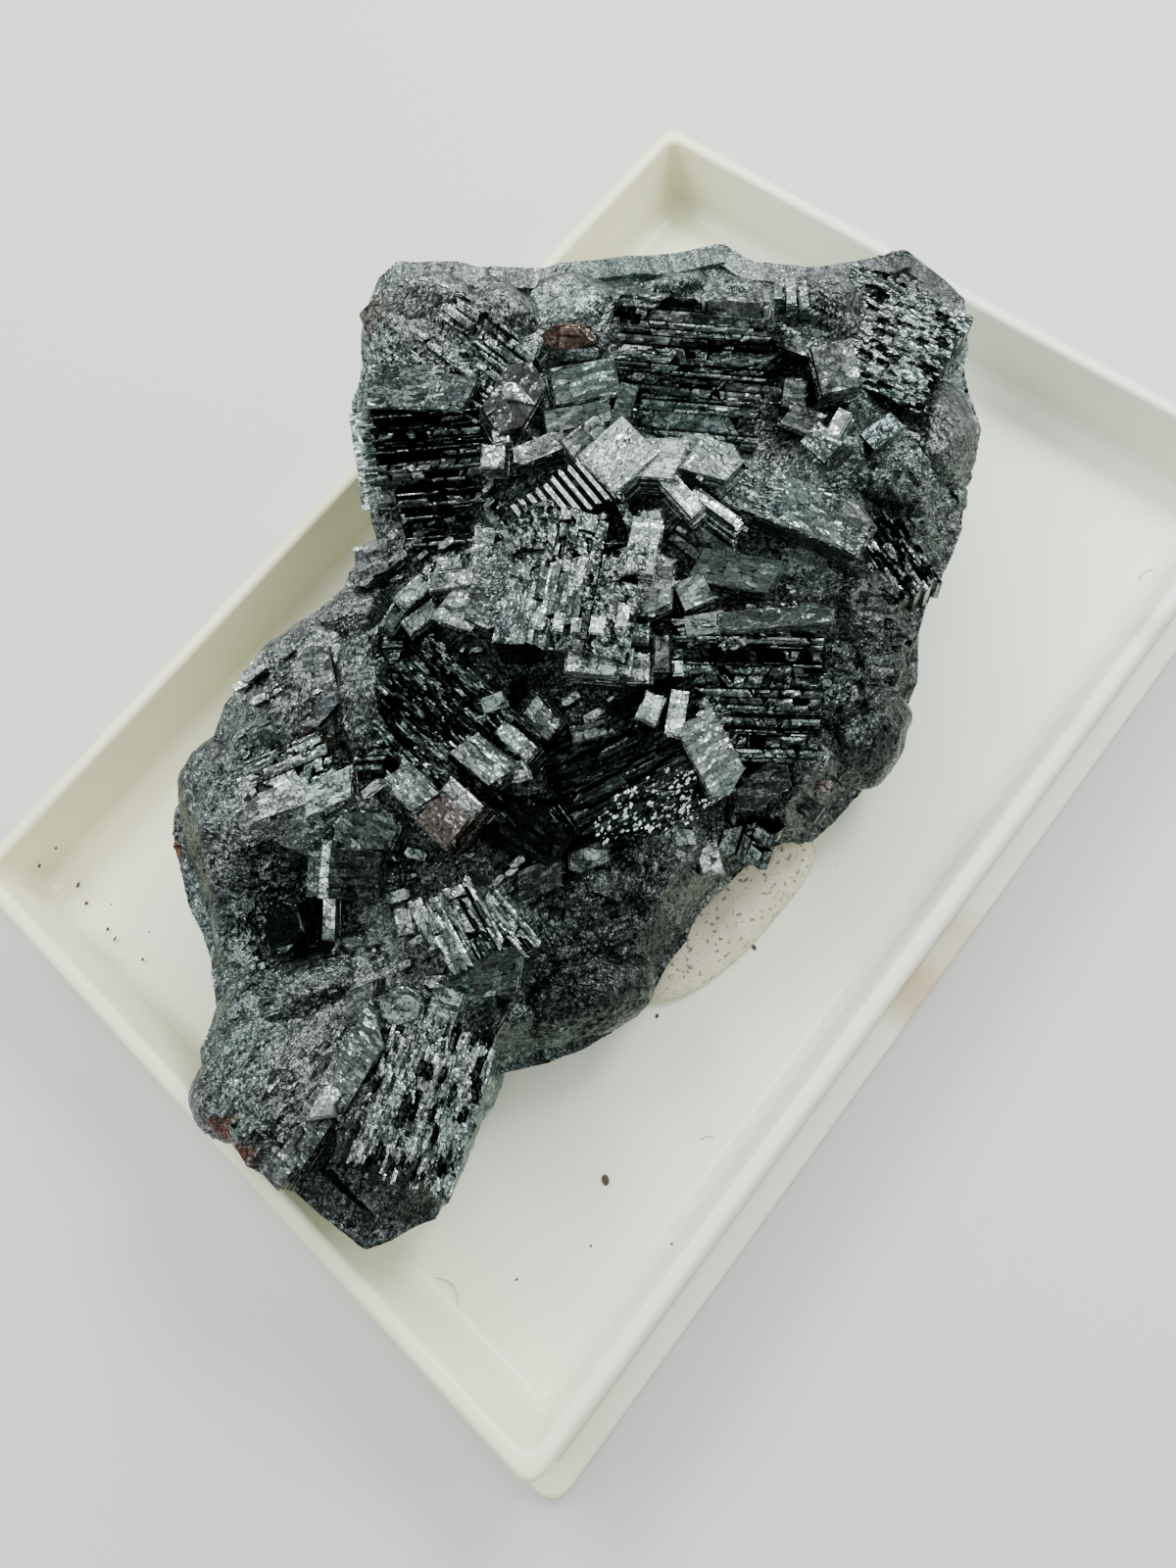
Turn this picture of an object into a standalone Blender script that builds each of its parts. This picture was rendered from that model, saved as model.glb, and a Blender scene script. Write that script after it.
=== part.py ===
"""Hematite specimen fixed with putty in a white plastic box base.

Lengths are in millimetres in this file and are turned to metres as each mesh is made.
The box stands on z = 0, with its middle over the origin and its long side along X.
The hematite is laid out in a frame of its own, the specimen's frame: its x and y lie
flat, its z is the height above the box's underside, and it is turned by SPECIMEN_TURN
and moved to SPECIMEN_SPOT in the box.
"""
import math
import random

import bmesh
import bpy
from mathutils import Matrix, Vector

MM = 0.001

# The box base
RIM_LONG = 110.0
RIM_SHORT = 73.8
BOX_HIGH = 12.0
WALL = 1.7
FLOOR_TOP = 3.0
FLOOR_INSET = 2.8
FLANGE_OUT = 2.2
FLANGE_HIGH = 1.5
RIM_CORNER = 1.6
INNER_CORNER = 1.3
CORNER_STEPS = 5

# The hematite's place in the box
SPECIMEN_TURN = -50.0
SPECIMEN_SPOT = (0.0, 3.1)
GAP = 0.3
SLIVER = 0.003

# Where the rays of the outline start, and where the break underneath lies
BODY_CENTRE = (-5.0, -8.0)
BREAK_Z = 3.4

# The putty's outline from above, anticlockwise, and its middle
PUTTY_MIDDLE = (11.0, -21.5)
PUTTY_OUTLINE = [
    (4.0, -31.5), (6.5, -31.3), (9.0, -30.2), (11.6, -28.4), (14.2, -26.2), (16.4, -23.8),
    (18.8, -21.2), (20.6, -18.4), (20.8, -15.0), (18.0, -12.4), (13.6, -11.8), (9.4, -13.0),
    (5.6, -16.0), (3.0, -20.0), (1.6, -24.4), (1.8, -28.6),
]

# The widest outline of the hematite, clockwise from its top left corner: x, y and the
# height at which it is widest
OUTLINE = [
    (-17.0, 30.0, 34), (-15.0, 31.0, 35), (-9.0, 30.5, 35), (-7.5, 30.5, 34), (-1.0, 31.0, 32),
    (4.0, 33.0, 30), (9.5, 34.5, 28), (15.0, 35.5, 27), (18.0, 34.0, 26), (24.0, 33.5, 25),
    (32.5, 36.5, 22), (36.0, 34.5, 20), (38.0, 32.0, 20), (37.5, 28.5, 19), (37.0, 25.0, 19),
    (38.0, 18.5, 18), (36.0, 13.0, 17), (35.5, 9.0, 16), (34.5, 7.0, 15), (32.0, 3.5, 14),
    (31.0, 0.0, 13), (30.5, -4.0, 12), (28.0, -9.0, 11), (25.5, -13.0, 10), (22.5, -16.0, 9),
    (20.0, -18.0, 9), (17.0, -17.5, 9), (13.5, -20.5, 9), (10.0, -24.0, 10), (7.0, -28.0, 10),
    (4.0, -33.0, 10), (-0.5, -35.5, 10), (-4.0, -37.0, 10), (-8.5, -38.0, 11),
    (-9.0, -42.0, 14), (-10.5, -44.5, 14), (-12.5, -49.0, 15), (-15.5, -50.5, 17),
    (-17.5, -51.0, 17), (-21.0, -49.0, 18), (-23.5, -47.0, 19), (-27.0, -45.5, 20),
    (-29.5, -42.5, 20), (-32.0, -39.0, 19), (-33.0, -36.5, 18), (-32.0, -33.0, 17),
    (-33.5, -29.0, 16), (-36.5, -24.0, 16), (-38.0, -18.5, 17), (-38.0, -16.0, 18),
    (-36.0, -14.0, 19), (-34.0, -9.5, 20), (-33.0, -7.0, 21), (-29.0, -3.0, 23),
    (-25.5, -0.5, 24), (-21.0, 2.5, 25), (-20.0, 4.0, 26), (-17.5, 5.5, 27), (-18.0, 8.0, 28),
    (-18.5, 12.5, 29), (-19.5, 16.0, 30), (-19.5, 18.5, 31), (-18.5, 22.0, 32), (-19.0, 25.0, 32),
    (-18.0, 28.0, 33),
]

# Heights of the massive hematite between its crystals: x, y, z
SURFACE = [
    (-12, 27, 36), (-7, 20, 34), (-13, 10, 26), (-3, 14, 32), (3, 27, 32), (12, 31, 28),
    (12, 18, 28), (21, 27, 27), (29, 27, 24), (34, 20, 20), (31, 13, 21), (24, 14, 27),
    (2, 8, 29), (10, 7, 30), (20, 5, 26), (30, 5, 17), (0, -2, 29), (8, -4, 25), (16, -7, 24),
    (24, -8, 16), (7, -15, 20), (-4, -13, 23), (-10, -13, 24), (14, -17, 14), (1, -22, 17),
    (1, -28, 14), (-9, -28, 20), (-17, -7, 24), (-24, -7, 26), (-31, -13, 22), (-24, -16, 24),
    (-19, -24, 20), (-25, -27, 15), (-24, -32, 20), (-30, -36, 20), (-28, -41, 22),
    (-17, -40, 23), (-11, -41, 20), (-17, -48, 18), (-5, -33, 15),
]


def clear_scene():
    for old in list(bpy.data.objects):
        bpy.data.objects.remove(old, do_unlink=True)


def material(name, colour, roughness, metallic):
    mat = bpy.data.materials.new(name)
    mat.use_nodes = True
    shader = mat.node_tree.nodes["Principled BSDF"]
    shader.inputs["Base Color"].default_value = (*colour, 1.0)
    shader.inputs["Roughness"].default_value = roughness
    shader.inputs["Metallic"].default_value = metallic
    mat.diffuse_color = (*colour, 1.0)
    return mat


def object_from(bm, name, mat):
    """One object from a bmesh in millimetres."""
    bmesh.ops.scale(bm, vec=(MM, MM, MM), verts=bm.verts)
    mesh = bpy.data.meshes.new(name)
    bm.to_mesh(mesh)
    bm.free()
    mesh.materials.append(mat)
    obj = bpy.data.objects.new(name, mesh)
    bpy.context.scene.collection.objects.link(obj)
    return obj


def place_in_box(obj):
    """Turn and move a mesh from the specimen's frame into the box."""
    obj.rotation_euler = (0.0, 0.0, math.radians(SPECIMEN_TURN))
    obj.location = (SPECIMEN_SPOT[0] * MM, SPECIMEN_SPOT[1] * MM, 0.0)


def bridge(bm, lower, upper):
    """Side faces between two closed rings of as many points."""
    count = len(lower)
    for i in range(count):
        j = (i + 1) % count
        bm.faces.new((lower[i], lower[j], upper[j], upper[i]))


# The box base

def rounded_rectangle(bm, long_side, short_side, corner, z):
    """A ring of points round a rectangle with round corners, anticlockwise from above."""
    ring = []
    spots = ((1, 1, 0), (-1, 1, 90), (-1, -1, 180), (1, -1, 270))
    for side_x, side_y, start in spots:
        mid_x = side_x * (long_side / 2 - corner)
        mid_y = side_y * (short_side / 2 - corner)
        for step in range(CORNER_STEPS + 1):
            angle = math.radians(start + 90 * step / CORNER_STEPS)
            ring.append(bm.verts.new((mid_x + corner * math.cos(angle),
                                      mid_y + corner * math.sin(angle), z)))
    return ring


def make_box_base():
    """Flange, wall with a rounded rim, and a floor with a soft fillet round it."""
    bm = bmesh.new()
    floor_fillet = 1.6
    profile = [
        (FLANGE_OUT - 0.3, 0.0), (FLANGE_OUT, 0.3), (FLANGE_OUT, FLANGE_HIGH - 0.3),
        (FLANGE_OUT - 0.3, FLANGE_HIGH), (0.1, FLANGE_HIGH), (0.0, BOX_HIGH - 0.7),
        (-0.2, BOX_HIGH - 0.2), (-0.7, BOX_HIGH), (-WALL + 0.6, BOX_HIGH),
        (-WALL + 0.1, BOX_HIGH - 0.2), (-WALL, BOX_HIGH - 0.7),
        (-FLOOR_INSET + 0.2, FLOOR_TOP + floor_fillet),
        (-FLOOR_INSET - 0.3, FLOOR_TOP + 0.5 * floor_fillet),
        (-FLOOR_INSET - 0.5 * floor_fillet, FLOOR_TOP + 0.1 * floor_fillet),
        (-FLOOR_INSET - floor_fillet, FLOOR_TOP),
    ]
    rings = []
    for out, z in profile:
        corner = max(RIM_CORNER + 0.2 * max(out, 0.0) + min(out, 0.0), INNER_CORNER)
        rings.append(rounded_rectangle(bm, RIM_LONG + 2 * out, RIM_SHORT + 2 * out, corner, z))
    for lower, upper in zip(rings, rings[1:]):
        bridge(bm, lower, upper)
    bm.faces.new(list(reversed(rings[0])))
    bm.faces.new(rings[-1])
    plastic = material("white_plastic", (0.80, 0.79, 0.74), 0.38, 0.0)
    base = object_from(bm, "box_base", plastic)
    base.data.shade_smooth()
    base.data.set_sharp_from_angle(angle=math.radians(35))
    return base


# The putty

def make_putty_mesh(grow):
    """The pressed pad of putty, rounded over, with grow added all round it."""
    bm = bmesh.new()
    mid_x, mid_y = PUTTY_MIDDLE
    # share of the outline's reach, and height over the floor
    profile = ((0.95, 0.0), (1.0, 0.5), (0.97, 1.3), (0.86, 2.1), (0.62, 2.7))
    rings = []
    for reach, rise in profile:
        ring = []
        for x, y in PUTTY_OUTLINE:
            span = math.hypot(x - mid_x, y - mid_y)
            scale = reach + grow / span
            lift = -grow if rise == 0.0 else grow
            ring.append(bm.verts.new((mid_x + scale * (x - mid_x), mid_y + scale * (y - mid_y),
                                      FLOOR_TOP + GAP + rise + lift)))
        rings.append(ring)
    for lower, upper in zip(rings, rings[1:]):
        bridge(bm, lower, upper)
    bm.faces.new(list(reversed(rings[0])))
    bm.faces.new(rings[-1])
    return bm


def make_putty():
    cream = material("mounting_putty", (0.72, 0.66, 0.50), 0.85, 0.0)
    pad = object_from(make_putty_mesh(0.0), "mounting_putty", cream)
    place_in_box(pad)
    return pad


# The massive hematite

def smooth_step(t):
    t = min(max(t, 0.0), 1.0)
    return t * t * (3 - 2 * t)


def surface_height(x, y):
    """Height of the massive hematite, weighed by the cube of the distance to each spot."""
    total = 0.0
    weights = 0.0
    for spot_x, spot_y, spot_z in SURFACE:
        distance = math.hypot(x - spot_x, y - spot_y) + 0.5
        weight = distance ** -3
        total += weight * spot_z
        weights += weight
    return total / weights


def add_massive_body(bm, rng):
    """Rings from the break underneath, out to the outline and in over the top."""
    centre_x, centre_y = BODY_CENTRE
    below = ((0.80, 0.0), (0.90, 0.30), (0.965, 0.66))
    above = (1.0, 0.94, 0.82, 0.66, 0.48, 0.28)
    top_blend = 0.14
    rough = 0.55
    rings = []
    for reach, share in below:
        ring = []
        for x, y, z in reversed(OUTLINE):
            height = BREAK_Z + share * (z - BREAK_Z)
            wobble = rng.uniform(-1, 1) * (rough if share else 0.0)
            scale = reach + 0.01 * rng.uniform(-1, 1)
            ring.append(bm.verts.new((centre_x + scale * (x - centre_x),
                                      centre_y + scale * (y - centre_y), height + wobble)))
        rings.append(ring)
    for reach in above:
        ring = []
        for x, y, z in reversed(OUTLINE):
            at_x = centre_x + reach * (x - centre_x)
            at_y = centre_y + reach * (y - centre_y)
            share = smooth_step((1 - reach) / top_blend)
            height = (1 - share) * z + share * surface_height(at_x, at_y)
            wobble = rough * rng.uniform(-1, 1) * (1 if reach < 1 else 0)
            ring.append(bm.verts.new((at_x, at_y, height + wobble)))
        rings.append(ring)
    for lower, upper in zip(rings, rings[1:]):
        bridge(bm, lower, upper)
    bm.faces.new(list(reversed(rings[0])))
    top = bm.verts.new((centre_x, centre_y, surface_height(centre_x, centre_y)))
    last = rings[-1]
    for i, vert in enumerate(last):
        bm.faces.new((vert, last[(i + 1) % len(last)], top))
    bmesh.ops.triangulate(bm, faces=bm.faces)


def add_lump(bm, at, radii, turn, rng):
    """A rough rounded mass: a ball of flat facets, pulled out of round."""
    place = (Matrix.Translation(at) @ Matrix.Rotation(math.radians(turn), 4, "Z")
             @ Matrix.Diagonal((*radii, 1.0)))
    made = bmesh.ops.create_icosphere(bm, subdivisions=2, radius=1.0)
    for vert in made["verts"]:
        vert.co *= 1 + 0.10 * rng.uniform(-1, 1)
        vert.co = place @ vert.co


# The crystals

def crystal_frame(at, turn, tip, lean):
    """From a crystal's own axes to the specimen's frame.

    Its top face's middle is at the origin and its depth runs down -Z. turn swings it
    round the vertical, tip sinks its +X end and lean faces its top towards -Y.
    """
    return (Matrix.Translation(at)
            @ Matrix.Rotation(math.radians(turn), 4, "Z")
            @ Matrix.Rotation(math.radians(tip), 4, "Y")
            @ Matrix.Rotation(math.radians(lean), 4, "X"))


def outline_of(shape, length, width):
    """The top face's outline, anticlockwise, for each habit of crystal."""
    a = length / 2
    b = width / 2
    if shape == "hex":
        cut = min(a, b) * 0.75
        return [(a, -b + cut), (a, b - cut * 0.4), (a - cut, b), (-a, b - cut), (-a, -b + cut * 0.3),
                (-a + cut, -b)]
    if shape == "rhomb":
        slip = 0.35 * b
        return [(a - slip, -b), (a + slip, b), (-a + slip, b), (-a - slip, -b)]
    if shape == "wedge":
        return [(a, -b * 0.55), (a, b * 0.55), (-a, b), (-a, -b)]
    return [(a, -b), (a, b), (-a, b), (-a, -b)]


def add_prism(bm, place, outline, depth, taper):
    """A closed prism below an outline, a little smaller at the top."""
    top = [bm.verts.new(place @ Vector((x * taper, y * taper, 0.0))) for x, y in outline]
    foot = [bm.verts.new(place @ Vector((x, y, -depth))) for x, y in outline]
    bridge(bm, foot, top)
    bm.faces.new(top)
    bm.faces.new(list(reversed(foot)))


def add_crystal(bm, at, size, turn=0.0, tip=0.0, lean=0.0, shape="block", taper=0.94):
    length, width, depth = size
    place = crystal_frame(at, turn, tip, lean)
    add_prism(bm, place, outline_of(shape, length, width), depth, taper)


def add_laths(bm, at, size, turn, tip, lean, count, rng, ragged=0.2, steps=0.5):
    """Laths side by side across a crystal's width, their ends and tops at unlike heights."""
    length, width, depth = size
    place = crystal_frame(at, turn, tip, lean)
    lath = width / count
    for k in range(count):
        middle = -width / 2 + lath * (k + 0.5)
        near = -length / 2 + ragged * length * rng.uniform(0, 0.5)
        far = length / 2 - ragged * length * rng.uniform(0, 0.5)
        drop = steps * rng.uniform(0, 1)
        foot = depth + 0.8 * rng.uniform(0, 1)
        half = 0.56 * lath
        skew = 0.06 * lath * rng.uniform(-1, 1)
        outline = [(far, middle - half + skew), (far, middle + half + skew),
                   (near, middle + half - skew), (near, middle - half - skew)]
        add_prism(bm, place @ Matrix.Translation((0.0, 0.0, -drop)), outline, foot - drop, 0.995)


def add_fins(bm):
    """The stack of thin bright fins that climbs to the light block on the crest."""
    first = Vector((-3.3, 5.7, 31.4))
    last = Vector((4.0, 7.4, 35.4))
    count = 10
    for k in range(count):
        share = k / (count - 1)
        at = first.lerp(last, share)
        add_crystal(bm, at, (0.46, 3.2 + 2.0 * share, 5.5), 38, 0, 12, "block", 1.0)


# Each crystal: middle of its top face, (length, width, depth), turn, tip, lean, habit
CREST = [
    ((-17.0, 25.6, 34.4), (3.4, 3.0, 5), 30, -25, 20, "block"),
    ((-13.5, 17.2, 35.4), (7.5, 4.0, 6), -5, 0, 24, "block"),
    ((-9.2, 16.3, 35.4), (3.6, 3.4, 5), -12, 0, 18, "rhomb"),
    ((-18.2, 13.0, 29.8), (2.4, 9.0, 6), -4, -18, 28, "block"),
    ((-3.2, 14.6, 37.0), (6.2, 5.6, 7), 35, 4, 20, "hex"),
    ((2.6, 16.4, 35.4), (5.8, 3.4, 6), 12, 8, 20, "block"),
    ((1.8, 13.8, 34.2), (6.0, 2.0, 5), 12, 6, 24, "block"),
    ((5.6, 14.0, 33.8), (1.6, 5.5, 6), -14, 12, 20, "block"),
    ((1.2, 21.8, 34.2), (8.0, 5.0, 5), 2, 2, 36, "hex"),
    ((-4.6, 11.4, 36.0), (1.4, 1.4, 5), 10, 0, 8, "block"),
    ((-5.4, 9.9, 35.2), (2.1, 2.3, 7), -4, 0, 10, "block"),
    ((-1.3, 10.2, 35.6), (4.6, 2.6, 7), 4, -2, 12, "hex"),
    ((2.8, 10.8, 35.4), (4.2, 2.6, 5), 38, 0, 30, "block"),
    ((5.5, 8.7, 36.3), (5.0, 4.6, 6), 40, -6, 8, "block"),
    ((-5.6, 5.4, 31.0), (1.0, 3.6, 5), 38, 0, 12, "block"),
    ((8.6, 8.4, 35.8), (4.4, 3.6, 6), -8, 0, 12, "rhomb"),
    ((10.4, 5.8, 34.6), (4.8, 1.5, 6), -52, 6, 4, "block"),
    ((12.6, 8.6, 35.4), (5.5, 4.6, 6), -45, 4, 6, "hex"),
    ((7.8, 4.5, 33.0), (2.0, 1.2, 5), 5, 0, 10, "block"),
]

UPPER_RIGHT = [
    ((14.8, 24.3, 33.0), (7.6, 3.4, 5), -14, 2, 22, "hex"),
    ((21.1, 26.8, 31.0), (1.2, 3.6, 5), 0, 0, 15, "block"),
    ((20.4, 21.8, 30.8), (4.6, 2.2, 5), -40, 0, 20, "hex"),
    ((24.2, 18.4, 31.6), (3.8, 4.6, 7), 12, 5, 18, "block"),
    ((20.4, 17.0, 30.2), (2.0, 2.6, 5), -10, 0, 20, "block"),
    ((20.9, 14.3, 30.0), (3.2, 2.4, 5), -30, 0, 24, "rhomb"),
    ((23.8, 13.4, 30.6), (1.2, 2.8, 5), -35, 0, 15, "block"),
    ((22.3, 11.8, 30.2), (3.0, 2.4, 5), -50, 0, 24, "block"),
    ((28.0, 14.6, 26.6), (4.0, 2.0, 5), 40, 6, 12, "block"),
    ((28.0, 10.0, 25.6), (7.0, 4.6, 6), -25, 8, 20, "hex"),
    ((19.3, 5.8, 31.4), (14.5, 6.6, 9), -35, 10, 8, "hex"),
    ((13.2, 5.0, 33.2), (5.0, 0.9, 6), -40, 6, 0, "block"),
    ((12.6, 2.4, 29.4), (8.0, 3.0, 6), -40, 6, 14, "block"),
]

MIDDLE = [
    ((-4.2, -0.8, 33.2), (6.0, 9.0, 9), -12, 0, 6, "hex"),
    ((7.2, 1.4, 34.0), (2.6, 5.0, 9), -12, 4, 4, "block"),
    ((2.6, -7.6, 31.6), (4.4, 2.4, 9), -8, 0, 8, "block"),
    ((5.2, -7.6, 31.2), (1.4, 2.4, 9), -8, 0, 8, "block"),
    ((8.0, -1.4, 32.4), (3.0, 5.6, 9), -6, 4, 6, "hex"),
    ((6.5, -5.0, 30.6), (1.6, 2.0, 7), -4, 0, 8, "block"),
    ((6.2, -7.6, 29.6), (1.9, 2.6, 9), -4, 0, 14, "block"),
    ((8.1, -6.4, 29.6), (1.3, 3.0, 9), -4, 0, 14, "block"),
    ((9.4, -7.4, 28.4), (0.9, 1.2, 6), 0, 0, 14, "block"),
    ((11.1, -1.6, 30.8), (2.8, 2.6, 7), 22, 0, 14, "block"),
    ((11.8, -4.0, 29.4), (3.4, 1.8, 6), 8, 0, 14, "block"),
    ((14.6, 0.4, 30.0), (7.0, 3.0, 6), -12, 4, 14, "rhomb"),
    ((17.6, -3.9, 30.0), (9.5, 2.6, 5), -3, 3, 8, "hex"),
    ((-7.0, 2.6, 31.6), (2.0, 4.6, 5), -12, 0, 12, "block"),
    ((-9.4, 0.2, 31.4), (4.2, 1.7, 5), 5, 0, 10, "block"),
    ((-9.8, 2.0, 31.0), (2.2, 1.2, 5), 8, 0, 10, "block"),
    ((-8.2, -1.8, 30.8), (4.0, 4.4, 6), -20, 0, 12, "rhomb"),
    ((-13.4, 0.2, 29.0), (3.4, 1.8, 5), 42, 0, 14, "block"),
    ((-12.6, -2.0, 28.6), (3.6, 1.6, 5), 38, 0, 14, "block"),
    ((-15.2, -1.6, 28.0), (3.0, 1.6, 5), 60, 0, 14, "block"),
]

RIGHT_FLANK = [
    ((25.0, -5.6, 19.6), (8.5, 11.5, 9), -12, 20, 20, "hex"),
    ((25.0, 0.8, 23.6), (8.5, 4.6, 7), -16, 14, 14, "hex"),
    ((29.2, -0.8, 16.0), (4.0, 5.4, 7), -6, 24, 8, "block"),
    ((33.2, 11.0, 19.0), (6.0, 8.0, 8), -30, 20, 6, "hex"),
    ((20.4, -12.6, 18.4), (2.2, 1.4, 6), -30, 0, 10, "block"),
    ((20.9, -14.4, 16.2), (2.4, 1.9, 6), -20, 0, 20, "wedge"),
    ((19.0, -15.6, 14.6), (3.8, 1.7, 6), -38, 0, 14, "block"),
    ((15.8, -15.2, 18.8), (5.0, 4.0, 6), 10, 0, 30, "hex"),
]

LOWER_MIDDLE = [
    ((7.0, -10.4, 27.4), (1.9, 2.6, 7), -25, 0, 8, "block"),
    ((9.2, -11.0, 27.8), (1.5, 3.8, 7), -12, 0, 10, "block"),
    ((11.7, -13.2, 25.4), (3.6, 8.6, 7), 28, 6, 14, "hex"),
    ((2.0, -11.9, 26.4), (3.8, 1.6, 6), 15, 0, 12, "block"),
    ((-2.2, -11.2, 27.6), (3.4, 3.4, 7), -40, 0, 14, "wedge"),
    ((-4.3, -12.9, 27.6), (4.0, 1.6, 6), -42, 0, 10, "block"),
    ((-6.9, -14.5, 28.0), (4.6, 2.8, 6), -40, 0, 10, "rhomb"),
    ((-6.0, -9.9, 28.6), (2.2, 1.5, 5), 20, 0, 12, "block"),
    ((-4.1, -15.2, 26.6), (1.5, 1.6, 5), 15, 0, 12, "block"),
    ((-8.8, -17.5, 27.0), (4.0, 1.5, 6), -42, 0, 10, "block"),
    ((-10.4, -19.0, 26.4), (3.8, 3.8, 7), -42, 0, 10, "block"),
    ((-13.4, -16.4, 26.8), (4.4, 3.0, 6), -42, 0, 12, "rhomb"),
    ((-4.8, -19.3, 23.1), (8.5, 6.5, 8), -35, 2, 32, "hex"),
    ((1.0, -21.2, 20.4), (3.6, 2.8, 5), 0, 0, 18, "hex"),
    ((-3.2, -23.0, 20.2), (4.0, 2.6, 5), 20, 0, 24, "rhomb"),
    ((7.8, -20.2, 18.4), (4.6, 3.6, 6), 10, 0, 22, "hex"),
    ((10.9, -20.6, 15.8), (2.0, 3.0, 6), 12, 0, 22, "block"),
    ((0.4, -26.6, 18.0), (12.0, 11.0, 9), 12, 4, 32, "hex"),
    ((-7.6, -31.0, 21.6), (6.5, 4.0, 8), 10, 0, 32, "rhomb"),
    ((-9.0, -34.0, 17.4), (4.2, 4.0, 7), 20, 0, 28, "hex"),
]

LEFT_LOBE = [
    ((-17.6, 3.9, 28.2), (3.2, 3.0, 6), 20, 0, 24, "rhomb"),
    ((-26.6, -17.2, 24.6), (6.0, 3.0, 6), 22, -6, 24, "hex"),
    ((-18.6, -23.2, 25.2), (5.2, 4.2, 9), -6, 4, 14, "block"),
    ((-17.2, -19.8, 25.4), (5.4, 4.6, 8), -25, 4, 14, "hex"),
    ((-22.0, -22.8, 23.8), (2.4, 3.8, 8), -6, -34, 8, "block"),
    ((-21.2, -26.2, 21.4), (1.1, 4.0, 7), -4, 0, 22, "block"),
    ((-14.2, -26.8, 22.6), (1.6, 2.4, 6), 10, 0, 12, "block"),
    ((-12.2, -27.2, 23.8), (1.2, 4.6, 6), 25, 0, 12, "block"),
]

LOWER_LOBE = [
    ((-17.7, -38.4, 25.0), (3.2, 11.0, 6), -32, -4, 4, "wedge"),
    ((-21.6, -43.4, 23.2), (2.6, 8.0, 6), -38, -8, 4, "block"),
    ((-25.4, -41.0, 22.8), (4.6, 9.0, 7), -38, -14, 2, "hex"),
    ((-11.8, -40.6, 22.4), (8.0, 13.5, 9), -18, 22, 4, "hex"),
    ((-14.2, -33.8, 24.0), (4.0, 3.6, 7), -10, 0, 10, "hex"),
    ((-10.6, -33.4, 22.6), (2.6, 3.0, 7), -20, 6, 14, "block"),
    ((-17.2, -33.4, 24.0), (2.6, 2.6, 6), 20, 0, 10, "rhomb"),
    ((-15.6, -46.8, 17.6), (8.0, 5.4, 7), 12, 6, 32, "hex"),
]

# Rough rounded masses: middle, radii, turn
LUMPS = [
    ((-12.2, 27.0, 31.8), (5.0, 3.2, 5.0), 4),
    ((-7.0, 25.8, 30.4), (5.5, 4.0, 5.4), -10),
    ((0.5, 27.2, 26.6), (7.0, 4.6, 6.6), 8),
    ((9.0, 30.4, 22.8), (7.0, 3.6, 6.4), 10),
    ((15.6, 31.0, 21.4), (4.6, 4.0, 6.2), -20),
    ((23.6, 28.6, 22.6), (5.4, 4.6, 6.2), 0),
    ((33.6, 29.0, 17.6), (3.6, 6.0, 5.4), 10),
    ((-17.0, 20.0, 28.0), (2.4, 6.0, 5.4), -4),
    ((33.4, 18.0, 16.6), (4.2, 6.4, 5.4), 4),
    ((-24.0, -5.8, 21.6), (5.4, 7.2, 5.8), -22),
    ((-18.2, -7.2, 21.0), (4.0, 8.0, 6.6), 4),
    ((-19.6, 0.0, 21.8), (4.2, 3.4, 5.6), 20),
    ((-31.6, -14.4, 16.0), (5.8, 6.2, 6.2), -20),
    ((-30.6, -25.0, 13.6), (3.8, 6.6, 5.2), 0),
    ((-23.6, -32.0, 15.6), (6.6, 3.8, 5.8), 10),
    ((-28.6, -38.6, 16.6), (4.0, 6.0, 4.6), -26),
    ((-1.0, -31.0, 11.6), (6.4, 4.2, 4.6), 14),
    ((24.4, -8.4, 12.6), (4.6, 5.6, 5.0), -20),
]

# Crystals built of laths: top middle, (length, width, depth), turn, tip, lean, laths, ragged ends, steps
LATHED = [
    ((-8.6, 20.4, 35.6), (12.0, 9.0, 8), -42, 4, 10, 7, 0.25, 0.6),
    ((-12.1, 9.9, 31.1), (12.0, 12.5, 9), 3, 2, 42, 9, 0.10, 0.8),
    ((11.2, 18.4, 32.4), (14.0, 13.0, 9), -9, 2, 36, 10, 0.30, 0.9),
    ((29.4, 24.6, 26.4), (14.0, 11.0, 9), -32, 6, 12, 7, 0.30, 0.8),
    ((28.4, 5.4, 21.0), (10.0, 5.4, 7), -64, 6, 6, 4, 0.30, 0.8),
    ((1.4, -1.2, 34.0), (13.0, 11.0, 10), 78, -6, 0, 8, 0.12, 0.5),
    ((15.0, -9.2, 26.8), (12.5, 12.0, 10), -3, 2, 30, 8, 0.10, 0.7),
    ((6.0, -15.2, 24.4), (15.0, 10.5, 9), 24, -8, 34, 7, 0.25, 0.9),
    ((-10.5, -11.5, 28.0), (14.0, 10.0, 9), -43, 8, 12, 7, 0.25, 0.8),
    ((-9.0, -27.4, 24.8), (6.5, 5.0, 8), -60, 8, 0, 4, 0.25, 0.5),
    ((-5.2, -27.0, 23.4), (6.0, 2.0, 7), -48, 8, 0, 2, 0.20, 0.5),
    ((-24.0, -14.8, 26.4), (7.5, 4.6, 6), 22, 0, 18, 3, 0.20, 0.5),
    ((13.8, -19.0, 14.8), (3.6, 5.5, 6), 68, -20, 0, 4, 0.20, 0.6),
]


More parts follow.
